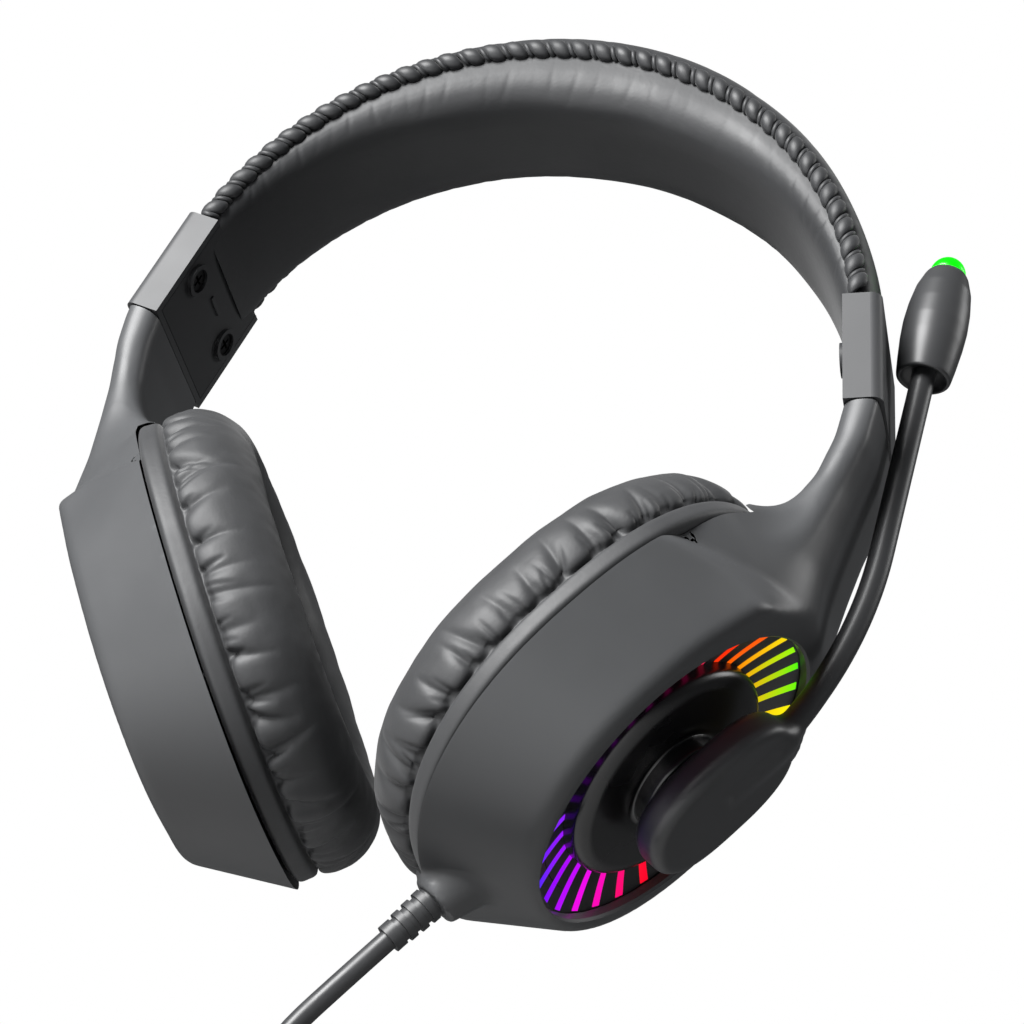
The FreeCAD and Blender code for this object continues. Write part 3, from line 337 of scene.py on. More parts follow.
def settle(field, points, rounds=3):
    """Points moved on to the surface where a field is zero."""
    h = 0.05
    for _ in range(rounds):
        value = field(*points.T)
        slope = np.zeros_like(points)
        for k in range(3):
            step = np.zeros(3)
            step[k] = h
            slope[:, k] = (field(*(points + step).T) - field(*(points - step).T)) / (2 * h)
        size = np.maximum((slope ** 2).sum(1), 0.05)
        move = slope * (value / size)[:, None]
        length = np.linalg.norm(move, axis=1)
        points = points - move * np.minimum(1, 0.4 / np.maximum(length, 1e-9))[:, None]
    return points


def cut_with(obj, points, faces):
    """Cut a closed cutter, given in row frame millimetres, out of an object's mesh."""
    mesh = new_mesh("cutter", points, faces)
    fixed_normals(mesh)
    cutter = new_object("cutter", mesh)
    modifier = obj.modifiers.new("cut", "BOOLEAN")
    modifier.object = cutter
    modifier.operation = "DIFFERENCE"
    modifier.solver = "EXACT"
    depsgraph = bpy.context.evaluated_depsgraph_get()
    result = bpy.data.meshes.new_from_object(obj.evaluated_get(depsgraph))
    obj.modifiers.remove(modifier)
    old = obj.data
    obj.data = result
    bpy.data.meshes.remove(old)
    bpy.data.objects.remove(cutter)
    bpy.data.meshes.remove(mesh)


# ---- materials
def new_material(name, color, roughness, metallic=0.0):
    """Material with its node tree, its shader and object coordinates."""
    material = bpy.data.materials.new(name)
    material.use_nodes = True
    material.diffuse_color = (*color, 1)
    tree = material.node_tree
    shader = tree.nodes["Principled BSDF"]
    shader.inputs["Base Color"].default_value = (*color, 1)
    shader.inputs["Roughness"].default_value = roughness
    shader.inputs["Metallic"].default_value = metallic
    place = tree.nodes.new("ShaderNodeTexCoord")
    return material, tree, shader, place.outputs["Object"]


def add_node(tree, kind, inputs, **settings):
    """New shader node. Its inputs are values, or the sockets that drive them."""
    node = tree.nodes.new("ShaderNode" + kind)
    for name, value in settings.items():
        setattr(node, name, value)
    for name, value in inputs.items():
        if isinstance(value, bpy.types.NodeSocket):
            tree.links.new(value, node.inputs[name])
        else:
            node.inputs[name].default_value = value
    return node


def noise_node(tree, coordinates, scale, detail=4.0, roughness=0.55):
    """Noise texture in object space, with its scale in features per metre."""
    inputs = {"Vector": coordinates, "Scale": scale, "Detail": detail, "Roughness": roughness}
    return add_node(tree, "TexNoise", inputs).outputs["Fac"]


def ramp(tree, value, low, high, from_low=0.3, from_high=0.7):
    """Value mapped from one range to another."""
    inputs = {"Value": value, "From Min": from_low, "From Max": from_high, "To Min": low, "To Max": high}
    return add_node(tree, "MapRange", inputs).outputs["Result"]


def scaled(color, factor):
    """Darker or lighter version of a colour."""
    return tuple(channel * factor for channel in color)


def tinted(tree, value, dark, light):
    """Colour between two by a value. The first is a tint or a socket."""
    if not isinstance(dark, bpy.types.NodeSocket):
        dark = (*dark, 1)
    return add_node(tree, "Mix", {0: value, 6: dark, 7: (*light, 1)}, data_type="RGBA").outputs[2]


def clouded(tree, shader, cloud, color, tints, roughness):
    """Drive colour between two scalings of a tint, and roughness between two values."""
    dark, light = tints
    base = tinted(tree, cloud, scaled(color, dark), scaled(color, light))
    tree.links.new(base, shader.inputs["Base Color"])
    tree.links.new(ramp(tree, cloud, *roughness), shader.inputs["Roughness"])


def bumped(tree, shader, heights):
    """Chain of bumps, each (height, distance in metres, strength)."""
    inputs = {}
    for height, distance, strength in heights:
        inputs.update({"Height": height, "Distance": distance, "Strength": strength})
        inputs["Normal"] = add_node(tree, "Bump", inputs).outputs["Normal"]
    tree.links.new(inputs["Normal"], shader.inputs["Normal"])


def edge_highlight(tree, color, light):
    """Painted highlight: slightly lighter colour on convex edges, where light catches their rounding."""
    shape = tree.nodes.new("ShaderNodeNewGeometry")
    return tinted(tree, ramp(tree, shape.outputs["Pointiness"], 0.0, 0.45, 0.52, 0.62), color, light)


def plastic(name, color, roughness, grain=2600.0, depth=0.00001):
    """Moulded plastic with a fine spark-eroded grain, cloudy gloss and a painted highlight on convex edges."""
    material, tree, shader, place = new_material(name, color, roughness)
    cloud = noise_node(tree, place, 45.0, 3.0)
    fine = noise_node(tree, place, grain, 2.0, 0.6)
    base = tinted(tree, cloud, scaled(color, 0.9), scaled(color, 1.1))
    # The base colour gets a painted highlight on convex edges, found by pointiness.
    tree.links.new(edge_highlight(tree, base, scaled(color, 1.7)), shader.inputs["Base Color"])
    tree.links.new(ramp(tree, cloud, roughness - 0.03, roughness + 0.04), shader.inputs["Roughness"])
    bumped(tree, shader, [(fine, depth, 0.5)])
    return material


def leatherette(name, color, roughness, crease=1.0):
    """Soft coated fabric: pebbled grain, fine creases, cloudy sheen."""
    material, tree, shader, place = new_material(name, color, roughness)
    cloud = noise_node(tree, place, 70.0, 4.0)
    pebble = add_node(tree, "TexVoronoi", {"Vector": place, "Scale": 1500.0}, feature="SMOOTH_F1")
    fine = noise_node(tree, place, 420.0, 6.0, 0.65)
    clouded(tree, shader, cloud, color, (0.82, 1.15), (roughness - 0.05, roughness + 0.07))
    shader.inputs["Sheen Weight"].default_value = 0.12
    shader.inputs["Sheen Roughness"].default_value = 0.45
    bumped(tree, shader, [
        (pebble.outputs["Distance"], 0.00006, 0.22),
        (fine, 0.00012, 0.3 * crease),
    ])
    return material


def rubber(name, color, roughness):
    """Soft moulded rubber or cord jacket, with faint drawn streaks."""
    material, tree, shader, place = new_material(name, color, roughness)
    cloud = noise_node(tree, place, 160.0, 4.0)
    clouded(tree, shader, cloud, color, (0.85, 1.2), (roughness - 0.05, roughness + 0.06))
    bumped(tree, shader, [(noise_node(tree, place, 900.0, 3.0), 0.00004, 0.35)])
    return material


def metal(name, color, roughness, grain=900.0):
    """Metal with fine brushed or turned marks."""
    material, tree, shader, place = new_material(name, color, roughness, 1.0)
    stretch = add_node(tree, "Mapping", {"Vector": place, "Scale": (1.0, 1.0, 0.12)})
    marks = noise_node(tree, stretch.outputs["Vector"], grain, 4.0, 0.7)
    clouded(tree, shader, marks, color, (0.8, 1.0), (roughness - 0.08, roughness + 0.12))
    bumped(tree, shader, [(marks, 0.00002, 0.3)])
    return material


def weave(name, color):
    """Fine acoustic mesh: crossed threads."""
    material, tree, shader, place = new_material(name, color, 0.85)
    threads = {}
    for k, direction in enumerate(("X", "Z")):
        wave = add_node(tree, "TexWave", {"Vector": place, "Scale": 420.0}, bands_direction=direction)
        threads[k] = wave.outputs["Fac"]
    both = add_node(tree, "Math", threads, operation="MULTIPLY").outputs[0]
    tree.links.new(tinted(tree, both, scaled(color, 0.4), scaled(color, 1.6)), shader.inputs["Base Color"])
    bumped(tree, shader, [(both, 0.0001, 0.8)])
    return material


def glowing(name, attribute, strength):
    """Light bars coloured by a colour attribute, as through a milky diffuser."""
    material, tree, shader, place = new_material(name, (0.004, 0.004, 0.004), 0.5)
    shader.inputs["Specular IOR Level"].default_value = 0.1
    tint = add_node(tree, "VertexColor", {}, layer_name=attribute)
    tree.links.new(tint.outputs["Color"], shader.inputs["Emission Color"])
    shader.inputs["Emission Strength"].default_value = strength
    bumped(tree, shader, [(noise_node(tree, place, 1200.0, 2.0), 0.00002, 0.2)])
    return material


def lit(name, color, strength):
    """Translucent plastic lit from inside."""
    material, tree, shader, place = new_material(name, color, 0.3)
    shader.inputs["Emission Color"].default_value = (*color, 1)
    shader.inputs["Emission Strength"].default_value = strength
    bumped(tree, shader, [(noise_node(tree, place, 1500.0, 2.0), 0.00001, 0.2)])
    return material


MATERIALS = {
    "shell_plastic": plastic("shell_satin", (0.075, 0.077, 0.08), 0.42),
    "cap_plastic": plastic("cap_satin", (0.042, 0.043, 0.045), 0.5),
    "plate_plastic": plastic("plate_matt", (0.03, 0.031, 0.033), 0.5),
    "disc_plastic": plastic("disc_satin", (0.018, 0.018, 0.019), 0.36),
    "hub_gloss": plastic("hub_black", (0.004, 0.004, 0.0045), 0.26, 3000.0, 0.000002),
    "boom_plastic": plastic("boom_satin", (0.045, 0.046, 0.048), 0.4),
    "green_tip": lit("tip_green", (0.0, 1.0, 0.0), 1.0),
    "pad_leatherette": leatherette("pad_leatherette", (0.037, 0.038, 0.04), 0.54, 1.3),
    "band_leatherette": leatherette("band_leatherette", (0.03, 0.031, 0.033), 0.5),
    "lacing": leatherette("lace_leatherette", (0.028, 0.029, 0.031), 0.5),
    "steel": metal("steel", (0.5, 0.5, 0.51), 0.32),
    "screw_metal": metal("screw_black", (0.03, 0.03, 0.031), 0.32),
    "diffuser": glowing("light_bars", "glow", 1.0),
    "circuit_board": plastic("circuit_green", (0.02, 0.12, 0.05), 0.4),
    "diaphragm": plastic("diaphragm", (0.55, 0.54, 0.5), 0.35),
    "speaker_cloth": weave("speaker_cloth", (0.02, 0.02, 0.021)),
    "cord_jacket": rubber("cord_jacket", (0.04, 0.041, 0.043), 0.38),
    "cord_rubber": rubber("cord_rubber", (0.04, 0.041, 0.043), 0.45),
    "tie_plastic": rubber("tie_strap", (0.02, 0.02, 0.021), 0.6),
    "plug_metal": metal("plug_nickel", (0.75, 0.74, 0.72), 0.2, 500.0),
    "plug_tongue": plastic("tongue_white", (0.8, 0.8, 0.78), 0.45),
}


def dress_cad_nodes():
    """Give every CAD node the finish of its record slot."""
    slots = {part["node"]: part["material_slot"] for part in frame["record"]["subparts"]}
    for node, obj in frame["nodes"].items():
        material = MATERIALS[slots[node]]
        if obj.material_slots:
            for entry in obj.material_slots:
                entry.material = material
        else:
            obj.data.materials.append(material)


# ---- camera and light
AIM = Vector((0.0074, 0.0046, 0.0466))
AZIMUTH = math.radians(19.24)
ELEVATION = math.radians(-29.42)
ROLL = math.radians(17.79)
DISTANCE = 0.6785
LENS = 116.3
SENSOR = 36.0
LIGHT_DISTANCE = 1.4
FLOOR_DROP = 0.19
FLOOR_HALF = 6.0


def make_camera():
    """Camera below and in front of the headset, tilted over."""
    data = bpy.data.cameras.new("camera")
    data.lens = LENS
    data.sensor_width = SENSOR
    data.clip_start = 0.01
    data.clip_end = 20.0
    camera = new_object("camera", data)
    back = Vector((
        math.sin(AZIMUTH) * math.cos(ELEVATION),
        -math.cos(AZIMUTH) * math.cos(ELEVATION),
        math.sin(ELEVATION),
    ))
    camera.rotation_mode = "QUATERNION"
    camera.location = AIM + back * DISTANCE
    camera.rotation_quaternion = (-back).to_track_quat("-Z", "Y") @ Quaternion((0, 0, 1), ROLL)
    bpy.context.scene.camera = camera
    return camera


def soft_light(camera, right, up, towards, size, power):
    """Area light placed by where it stands from the object: right, up and towards the camera."""
    basis = camera.rotation_quaternion.to_matrix()
    direction = (basis @ Vector((right, up, towards))).normalized()
    data = bpy.data.lights.new("softbox", "AREA")
    data.shape = "DISK"
    data.size = size
    data.energy = power
    light = new_object("softbox", data)
    light.location = AIM + direction * LIGHT_DISTANCE
    light.rotation_mode = "QUATERNION"
    light.rotation_quaternion = (-direction).to_track_quat("-Z", "Y")


def make_world():
    """White studio surround that lights softly."""
    world = bpy.data.worlds.new("studio")
    bpy.context.scene.world = world
    world.use_nodes = True
    tree = world.node_tree
    tree.nodes.clear()
    out = tree.nodes.new("ShaderNodeOutputWorld")
    seen = add_node(tree, "Background", {"Color": (1, 1, 1, 1), "Strength": 1.0}).outputs[0]
    fill = add_node(tree, "Background", {"Color": (0.95, 0.97, 1.0, 1), "Strength": 0.10}).outputs[0]
    ray = add_node(tree, "LightPath", {}).outputs["Is Camera Ray"]
    mix = add_node(tree, "MixShader", {0: ray, 1: fill, 2: seen})
    tree.links.new(mix.outputs[0], out.inputs["Surface"])


def make_floor():
    """Pale floor well below the hanging headset."""
    low = CAD_BOX[0].z - FLOOR_DROP
    mesh = bpy.data.meshes.new("floor")
    corners = [(-1, -1), (1, -1), (1, 1), (-1, 1)]
    mesh.from_pydata([(x * FLOOR_HALF, y * FLOOR_HALF, low) for x, y in corners], [], [(0, 1, 2, 3)])
    floor = new_object("floor", mesh)
    material, tree, shader, place = new_material("floor", (0.86, 0.86, 0.86), 0.7)
    cloud = noise_node(tree, place, 3.0)
    tree.links.new(tinted(tree, cloud, (0.84, 0.84, 0.84), (0.88, 0.88, 0.88)), shader.inputs["Base Color"])
    mesh.materials.append(material)
    floor.visible_diffuse = False


camera = make_camera()
make_world()
make_floor()
soft_light(camera, -0.7, 1.1, 0.55, 0.9, 54.0)
soft_light(camera, 1.0, 0.3, -0.3, 0.6, 5.0)
bpy.context.scene.view_settings.view_transform = "Standard"
dress_cad_nodes()


# ---- cord
CORD_DIAMETER = 4.2
CORD_ROUTE = [
    (18.56, 0.0, -42.08),
    (4.36, 0.0, -64.37),
    (-2.2, -0.4, -75.6),
    (-6.6, -1.0, -88.8),
    (-8.9, -1.6, -103.4),
    (-9.5, -2.0, -119.0),
]
COIL_TURN_RADIUS = 25.0
COIL_CENTRE = (21.85, -2.0, -140.0)
COIL_TURNS = [
    (6.4, 0.0), (6.4, 4.2), (2.2, 4.5), (2.2, 0.2), (-2.1, 0.0), (-2.1, 4.3),
    (-6.3, 1.8), (-6.3, -2.4), (-2.1, -4.3), (2.2, -4.1), (6.4, -4.3),
]
POINTS_PER_TURN = 16


def coil_points():
    """Control points of the coil's turns. Each turn moves over to the next one's place in the bundle."""
    points = []
    for turn, here in enumerate(COIL_TURNS):
        after = COIL_TURNS[min(turn + 1, len(COIL_TURNS) - 1)]
        for k in range(POINTS_PER_TURN):
            share = k / POINTS_PER_TURN
            move = np.clip((share - 0.3) / 0.6, 0, 1)
            move = move * move * (3 - 2 * move)
            radius = COIL_TURN_RADIUS + here[0] + (after[0] - here[0]) * move
            side = here[1] + (after[1] - here[1]) * move
            angle = math.pi + TAU * share
            points.append((
                COIL_CENTRE[0] + radius * math.cos(angle),
                COIL_CENTRE[1] + side,
                COIL_CENTRE[2] + radius * math.sin(angle),
            ))
    return points


def make_cord():
    """One smooth cord from the relief, through its coil, to the plug."""
    plug_low, plug_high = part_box("plug_grip")
    plug_top = (
        (plug_low.x + plug_high.x) / 2 / MM,
        (plug_low.y + plug_high.y) / 2 / MM,
        plug_high.z / MM - 1.0,
    )
    points = CORD_ROUTE + coil_points()
    last = COIL_TURNS[-1]
    reach = COIL_TURN_RADIUS + last[0]
    points.append((COIL_CENTRE[0] - reach, COIL_CENTRE[1] + last[1], COIL_CENTRE[2]))
    points.append((plug_top[0], plug_top[1], plug_top[2] + 3.0))
    points.append(plug_top)
    curve = bpy.data.curves.new("cord", "CURVE")
    curve.dimensions = "3D"
    spline = curve.splines.new("NURBS")
    spline.points.add(len(points) - 1)
    for target, point in zip(spline.points, points):
        target.co = (point[0] * MM, point[1] * MM, point[2] * MM, 1)
    spline.order_u = 3
    spline.use_endpoint_u = True
    spline.resolution_u = 6
    curve.bevel_depth = CORD_DIAMETER / 2 * MM
    curve.bevel_resolution = 5
    curve.use_fill_caps = True
    curve.materials.append(MATERIALS["cord_jacket"])
    obj = new_object("cord", curve)
    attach(obj, "left_cup")
    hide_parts("cord_tube", "cord_coil")


make_cord()


# ---- cup shells
SHELL_SHARP = 38.0
BOOM_START = np.array([27.4, 0.0, 17.5])
BOOM_RADIUS = 2.5
BOOM_BEND = 95.0
BOOM_LEAN = (math.radians(4.0), math.radians(33.2))
BOOM_STRAIGHT = 44.0
BOOM_GAP = 0.6
BOOM_STEPS = 30
CAPSULE_AT = 42.0
BOSS_SUNK_A = 4.2
BOSS_END_T = 49.6
BOSS_INNER_T = 30.0
BOSS_END_RADIUS = 5.0
BOSS_TAPER = 0.24
CORD_HOLE_RADIUS = 3.0


def boom_path():
    """Centre line of the boom in the cup frame, and its direction at each point."""
    points = []
    directions = []
    first, last = BOOM_LEAN
    for k in range(BOOM_STEPS + 1):
        lean = first + (last - first) * k / BOOM_STEPS
        points.append(BOOM_START + np.array([
            BOOM_BEND * (math.cos(lean) - math.cos(first)),
            0.0,
            BOOM_BEND * (math.sin(lean) - math.sin(first)),
        ]))
        directions.append(np.array([-math.sin(lean), 0.0, math.cos(lean)]))
    for k in range(1, 13):
        points.append(points[BOOM_STEPS] + directions[BOOM_STEPS] * BOOM_STRAIGHT * k / 12)
        directions.append(directions[BOOM_STEPS])
    return np.array(points), np.array(directions)


def smoothed_table(heights, values):
    """Values by height, rounded off between their stations."""
    fine = np.linspace(-40.0, 110.0, 601)
    rough = np.interp(fine, heights, values)
    kernel = np.hanning(25)
    return fine, np.convolve(np.pad(rough, 12, "edge"), kernel / kernel.sum(), "valid")


ARM_OUTER_X = smoothed_table([0, 20, 32, 42, 52, 62, 74], [78.4, 78.2, 78.0, 78.8, 79.9, 81.2, 81.1])
ARM_INNER_X = smoothed_table([14, 23, 32, 42, 52, 62, 74], [55.0, 58.0, 62.0, 67.4, 71.7, 73.5, 73.7])
ARM_HALF_Y = smoothed_table(
    [0, 6, 11, 15, 19, 23, 28, 32, 37, 42, 47, 52, 62],
    [18.0, 24.0, 26.2, 26.1, 25.3, 24.3, 22.9, 21.8, 20.5, 19.5, 18.7, 18.2, 17.9],
)


def by_height(table, z):
    """Smoothed value at a height."""
    return np.interp(z, table[0], table[1])


def cup_side(a, y, t, grow=0.0):
    """Distance outside the tapered side of the cup."""
    a = np.maximum(a, -0.5)
    half_t = RIM_HALF_T - (RIM_HALF_T - FACE_HALF_T) / FACE_A * a + grow
    half_y = RIM_HALF_Y - (RIM_HALF_Y - FACE_HALF_Y) / FACE_A * a + grow
    return oval_distance(y, t - FACE_SHIFT_T * a / FACE_A, half_y, half_t)


def boom_underside():
    """Lowest height of the boom over the cup, by its distance from the hinge."""
    path, directions = boom_path()
    outward = np.stack([directions[:, 2], 0 * path[:, 1], -directions[:, 0]], 1)
    below = path - outward * (BOOM_RADIUS + BOOM_GAP)
    return below[:, 2], below[:, 0]


def shell_field(with_boss):
    """Field of the left shell's solid outer form with its arm, in the row frame."""
    reach, height = boom_underside()

    def field(x, y, z):
        local = CUP.local(np.stack([x, y, z], -1))
        a = local[..., 0]
        t = local[..., 2]
        cup = np.maximum(cup_side(a, y, t), -a - 2.0)
        arm = smooth_max(np.abs(y) - by_height(ARM_HALF_Y, z), by_height(ARM_INNER_X, z) - x, 4.0)
        arm = np.maximum(arm, 6.0 - z)
        body = smooth_min(cup, arm, 10.0)
        crown = np.clip((z - 8) / 14, 0, 1) * (1 - 0.75 * np.clip((z - 50) / 18, 0, 1))
        arm_face = by_height(ARM_OUTER_X, z) - 0.03 * crown * np.maximum(np.abs(y) - 9, 0) ** 2
        outer = smooth_max(a - FACE_A, (x - arm_face) * 0.95, 1.5)
        body = smooth_max(body, outer, 2.4)
        if with_boss:
            spread = np.hypot(BOSS_SUNK_A - a, y)
            width = BOSS_END_RADIUS + BOSS_TAPER * (t + BOSS_END_T)
            boss = smooth_max(np.maximum(spread - width, t + BOSS_INNER_T), -BOSS_END_T - t, 0.8)
            body = smooth_min(body, boss, 2.0)
            around = np.hypot(y, t)
            swept = a - np.interp(around, reach, height)
            body = np.where(around > 34, smooth_max(body, swept * 0.9, 0.8), body)
        return body

    return field


def ring_stack(rings, count=200):
    """Closed tapering oval solid from (a, half y, half t, shift t, power) rings in the cup frame."""
    points = []
    for a, half_y, half_t, shift, power in rings:
        for k in range(count):
            angle = TAU * k / count
            sine = math.sin(angle)
            cosine = math.cos(angle)
            points.append((
                a,
                half_y * math.copysign(abs(sine) ** (2 / power), sine),
                shift + half_t * math.copysign(abs(cosine) ** (2 / power), cosine),
            ))
    return CUP.room(points), capped_faces(len(rings), count)


def hollow_ring(a, grow=0.0):
    """Size of the hollow inside the cup at a depth."""
    share = a / FACE_A
    return (
        a,
        RIM_HALF_Y - (RIM_HALF_Y - FACE_HALF_Y) * share - SHELL_WALL + grow,
        RIM_HALF_T - (RIM_HALF_T - FACE_HALF_T) * share - SHELL_WALL + grow,
        FACE_SHIFT_T * share,
        OVAL_POWER,
    )


def hollow_cutter():
    """Hollow of the cup and the oval opening of the lit face, chamfered at the face."""
    inner = FACE_A - SHELL_WALL
    rings = [hollow_ring(-2.0), hollow_ring(inner - 1.0), hollow_ring(inner, -1.0)]
    for a, grow in ((inner + 0.01, 0.0), (FACE_A - 0.5, 0.0), (FACE_A + 0.2, 0.7), (FACE_A + 4, 0.7)):
        rings.append((a, MOUTH_HALF_Y + grow, MOUTH_HALF_T + grow, MOUTH_SHIFT_T, 2.0))
    return ring_stack(rings)


def pad_room_cutter():
    """Room that the shell and its arm leave for the ear pad."""
    rings = [(a, 45.8, 48.6, 0.4, OVAL_POWER) for a in (-24.0, 0.0)]
    return ring_stack(rings)


def cord_hole_cutter():
    """Hole through the cord boss."""
    points, faces = lathe([(CORD_HOLE_RADIUS, 0.0), (CORD_HOLE_RADIUS, 9.0)], 40)
    return about(CUP, points, (3.6, 0.0, -51.0), (0, 0, 1)), faces


def arm_top_cutter():
    """Block that cuts the arm off square below the end cap."""
    corners = [(u, y, w) for w in (0.0, 30.0) for y in (-40, 40) for u in (-25, 25)]
    faces = [(0, 1, 3, 2), (4, 6, 7, 5), (0, 4, 5, 1), (2, 3, 7, 6), (0, 2, 6, 4), (1, 5, 7, 3)]
    return CAP.room(corners), faces


def make_shell(side):
    """Moulded shell: cup and arm flow into each other."""
    left = side == "left"
    step = 1.0
    points, faces = iso_mesh(shell_field(left), (8.0, -48.0, -54.0), (88.0, 48.0, 78.0), step)
    obj = add_cup_piece(side, "shell", points, faces, "shell_plastic", ["cup_shell"], SHELL_SHARP)
    cutters = [hollow_cutter(), pad_room_cutter(), arm_top_cutter()]
    if left:
        cutters.append(cord_hole_cutter())
    for cutter, cutter_faces in cutters:
        cut_with(obj, cutter if left else mirrored(cutter), cutter_faces)
    obj.data.shade_smooth()
    obj.data.set_sharp_from_angle(angle=math.radians(SHELL_SHARP))


make_shell("left")
make_shell("right")


# ---- lit face, hub and microphone
def disc_point(angle, share, lift=0.0):
    """Point on the dished disc: share 0 at the hub, 1 at the mouth."""
    sine = math.sin(angle)
    cosine = math.cos(angle)
    near = np.array([DISC_INNER_RADIUS * sine, DISC_INNER_RADIUS * cosine])
    far = np.array([(MOUTH_HALF_Y + 0.3) * sine, MOUTH_SHIFT_T + (MOUTH_HALF_T + 0.3) * cosine])
    flat = near + (far - near) * share
    a = DISC_FOOT_A + (DISC_EDGE_A - DISC_FOOT_A) * share ** 1.3 + lift
    return a, flat[0], flat[1]


GLOW = [
    (-180, (0.42, 0.0, 1.0), (0.03, 0.02, 1.0)),
    (-153, (0.30, 0.02, 1.0), (0.05, 0.0, 1.0)),
    (-141, (0.40, 0.0, 1.0), (0.35, 0.0, 0.95)),
    (-110, (0.6, 0.0, 0.9), (0.6, 0.0, 0.9)),
    (-75, (0.9, 0.0, 0.3), (0.9, 0.0, 0.3)),
    (-43, (1.0, 0.02, 0.0), (1.0, 0.0, 0.0)),
    (-30, (1.0, 0.12, 0.0), (1.0, 0.05, 0.0)),
    (-18, (1.0, 0.22, 0.0), (1.0, 0.75, 0.0)),
    (-6, (1.0, 0.35, 0.0), (0.25, 1.0, 0.0)),
    (5, (1.0, 0.35, 0.0), (0.03, 1.0, 0.0)),
    (16, (1.0, 0.40, 0.0), (0.0, 1.0, 0.0)),
    (28, (1.0, 0.45, 0.0), (1.0, 0.95, 0.0)),
    (60, (1.0, 0.45, 0.0), (1.0, 0.6, 0.0)),
    (90, (1.0, 0.1, 0.0), (1.0, 0.1, 0.0)),
    (108, (1.0, 0.0, 0.02), (1.0, 0.0, 0.0)),
    (119, (1.0, 0.0, 0.12), (1.0, 0.0, 0.1)),
    (131, (1.0, 0.0, 0.45), (1.0, 0.0, 0.4)),
    (144, (0.9, 0.0, 0.85), (0.95, 0.0, 0.8)),
    (156, (0.6, 0.0, 1.0), (0.45, 0.0, 1.0)),
    (168, (0.5, 0.0, 1.0), (0.2, 0.0, 1.0)),
    (180, (0.42, 0.0, 1.0), (0.03, 0.02, 1.0)),
]


def glow_colour(angle, share):
    """Colour of the light at an angle round the face and a share of the way out."""
    angles = [entry[0] for entry in GLOW]
    colour = []
    for channel in range(3):
        inner = np.interp(angle, angles, [entry[1][channel] for entry in GLOW])
        outer = np.interp(angle, angles, [entry[2][channel] for entry in GLOW])
        colour.append(float(inner + (outer - inner) * share))
    return (*colour, 1.0)


BAR_COUNT = 31
BAR_START_DEG = -6.0
BAR_STEPS = 10
DISC_STEPS = 240
DISC_BACK = -2.2


def make_face(side):
    """Dished disc with its flush light bars."""
    shares = [0.0, 0.03, 0.1, 0.2, 0.3, 0.4, 0.5, 0.6, 0.7, 0.8, 0.9, 0.97, 1.0]
    rings = [(share, 0.0) for share in shares] + [(1.0, DISC_BACK), (0.0, DISC_BACK)]
    points = [disc_point(TAU * k / DISC_STEPS, *ring) for ring in rings for k in range(DISC_STEPS)]
    faces = grid_faces(len(rings), DISC_STEPS, wrap_rows=True, wrap_cols=True)
    add_cup_piece(side, "disc", CUP.room(points), faces, "disc_plastic", ["slot_disc"], 35.0)
    points = []
    faces = []
    colours = []
    for bar in range(BAR_COUNT):
        degrees = BAR_START_DEG + 360.0 * bar / BAR_COUNT
        degrees = (degrees + 180.0) % 360.0 - 180.0
        angle = math.radians(degrees)
        across = np.array([0.0, math.cos(angle), -math.sin(angle)])
        start = len(points)
        for k in range(BAR_STEPS + 1):
            share = 0.05 + 0.9 * k / BAR_STEPS
            half = 0.78 + 0.28 * share
            for offset, lift in ((-half, -0.5), (-half, 0.03), (-half + 0.15, 0.12),
                                 (half - 0.15, 0.12), (half, 0.03), (half, -0.5)):
                points.append(np.array(disc_point(angle, share, lift)) + across * offset)
                colours.append(glow_colour(degrees, share))
        end = start + BAR_STEPS * 6
        faces += grid_faces(BAR_STEPS + 1, 6, wrap_cols=True, start=start)
        faces += [tuple(range(start, start + 6)), tuple(range(end, end + 6))[::-1]]
    bars = add_cup_piece(side, "light_bars", CUP.room(points), faces, "diffuser", [], 30.0)
    glow = bars.data.color_attributes.new("glow", "FLOAT_COLOR", "POINT")
    for entry, colour in zip(glow.data, colours):
        entry.color = colour


def make_hub(side):
    """Glossy hub in the middle of the lit face."""
    corners = [(24.2, 12.6), (24.2, 16.6), (23.2, 17.7), (21.4, 18.3), (13.0, 18.4), (11.2, 18.2)]
    if side == "left":
        corners += [(10.4, 18.6), (10.4, 22.0), (9.6, 22.8), (6.0, 22.8)]
    else:
        corners += [(10.6, 18.6), (10.4, 19.6), (9.2, 20.3), (4.0, 20.8)]
    points, faces = lathe(rounded_outline(corners, 0.8), 180)
    add_cup_piece(side, "hub_dome", about(CUP, points), faces, "hub_gloss", ["hub"], 50.0)


def tube(path, directions, radius, segments):
    """Closed round tube along a path in the plane across +Y."""
    points = []
    side = np.array([0.0, 1.0, 0.0])
    for centre, direction in zip(path, directions):
        other = np.cross(direction, side)
        for k in range(segments):
            angle = TAU * k / segments
            points.append(centre + radius * (math.cos(angle) * side + math.sin(angle) * other))
    return np.array(points), capped_faces(len(path), segments)


MIC_SLAB_CENTRE = (26.4, 0.5, 3.5)
MIC_SLAB_HALF = (3.6, 12.9, 18.4)
CAPSULE_OUTLINE = [
    (2.9, 1.6), (4.3, 0.9), (4.9, 0.0), (5.6, 0.2), (5.75, 1.0), (6.1, 4.0), (6.55, 9.0), (6.7, 13.0),
    (6.45, 17.5), (5.8, 22.0), (4.6, 25.6), (3.8, 26.8), (3.3, 26.9),
]


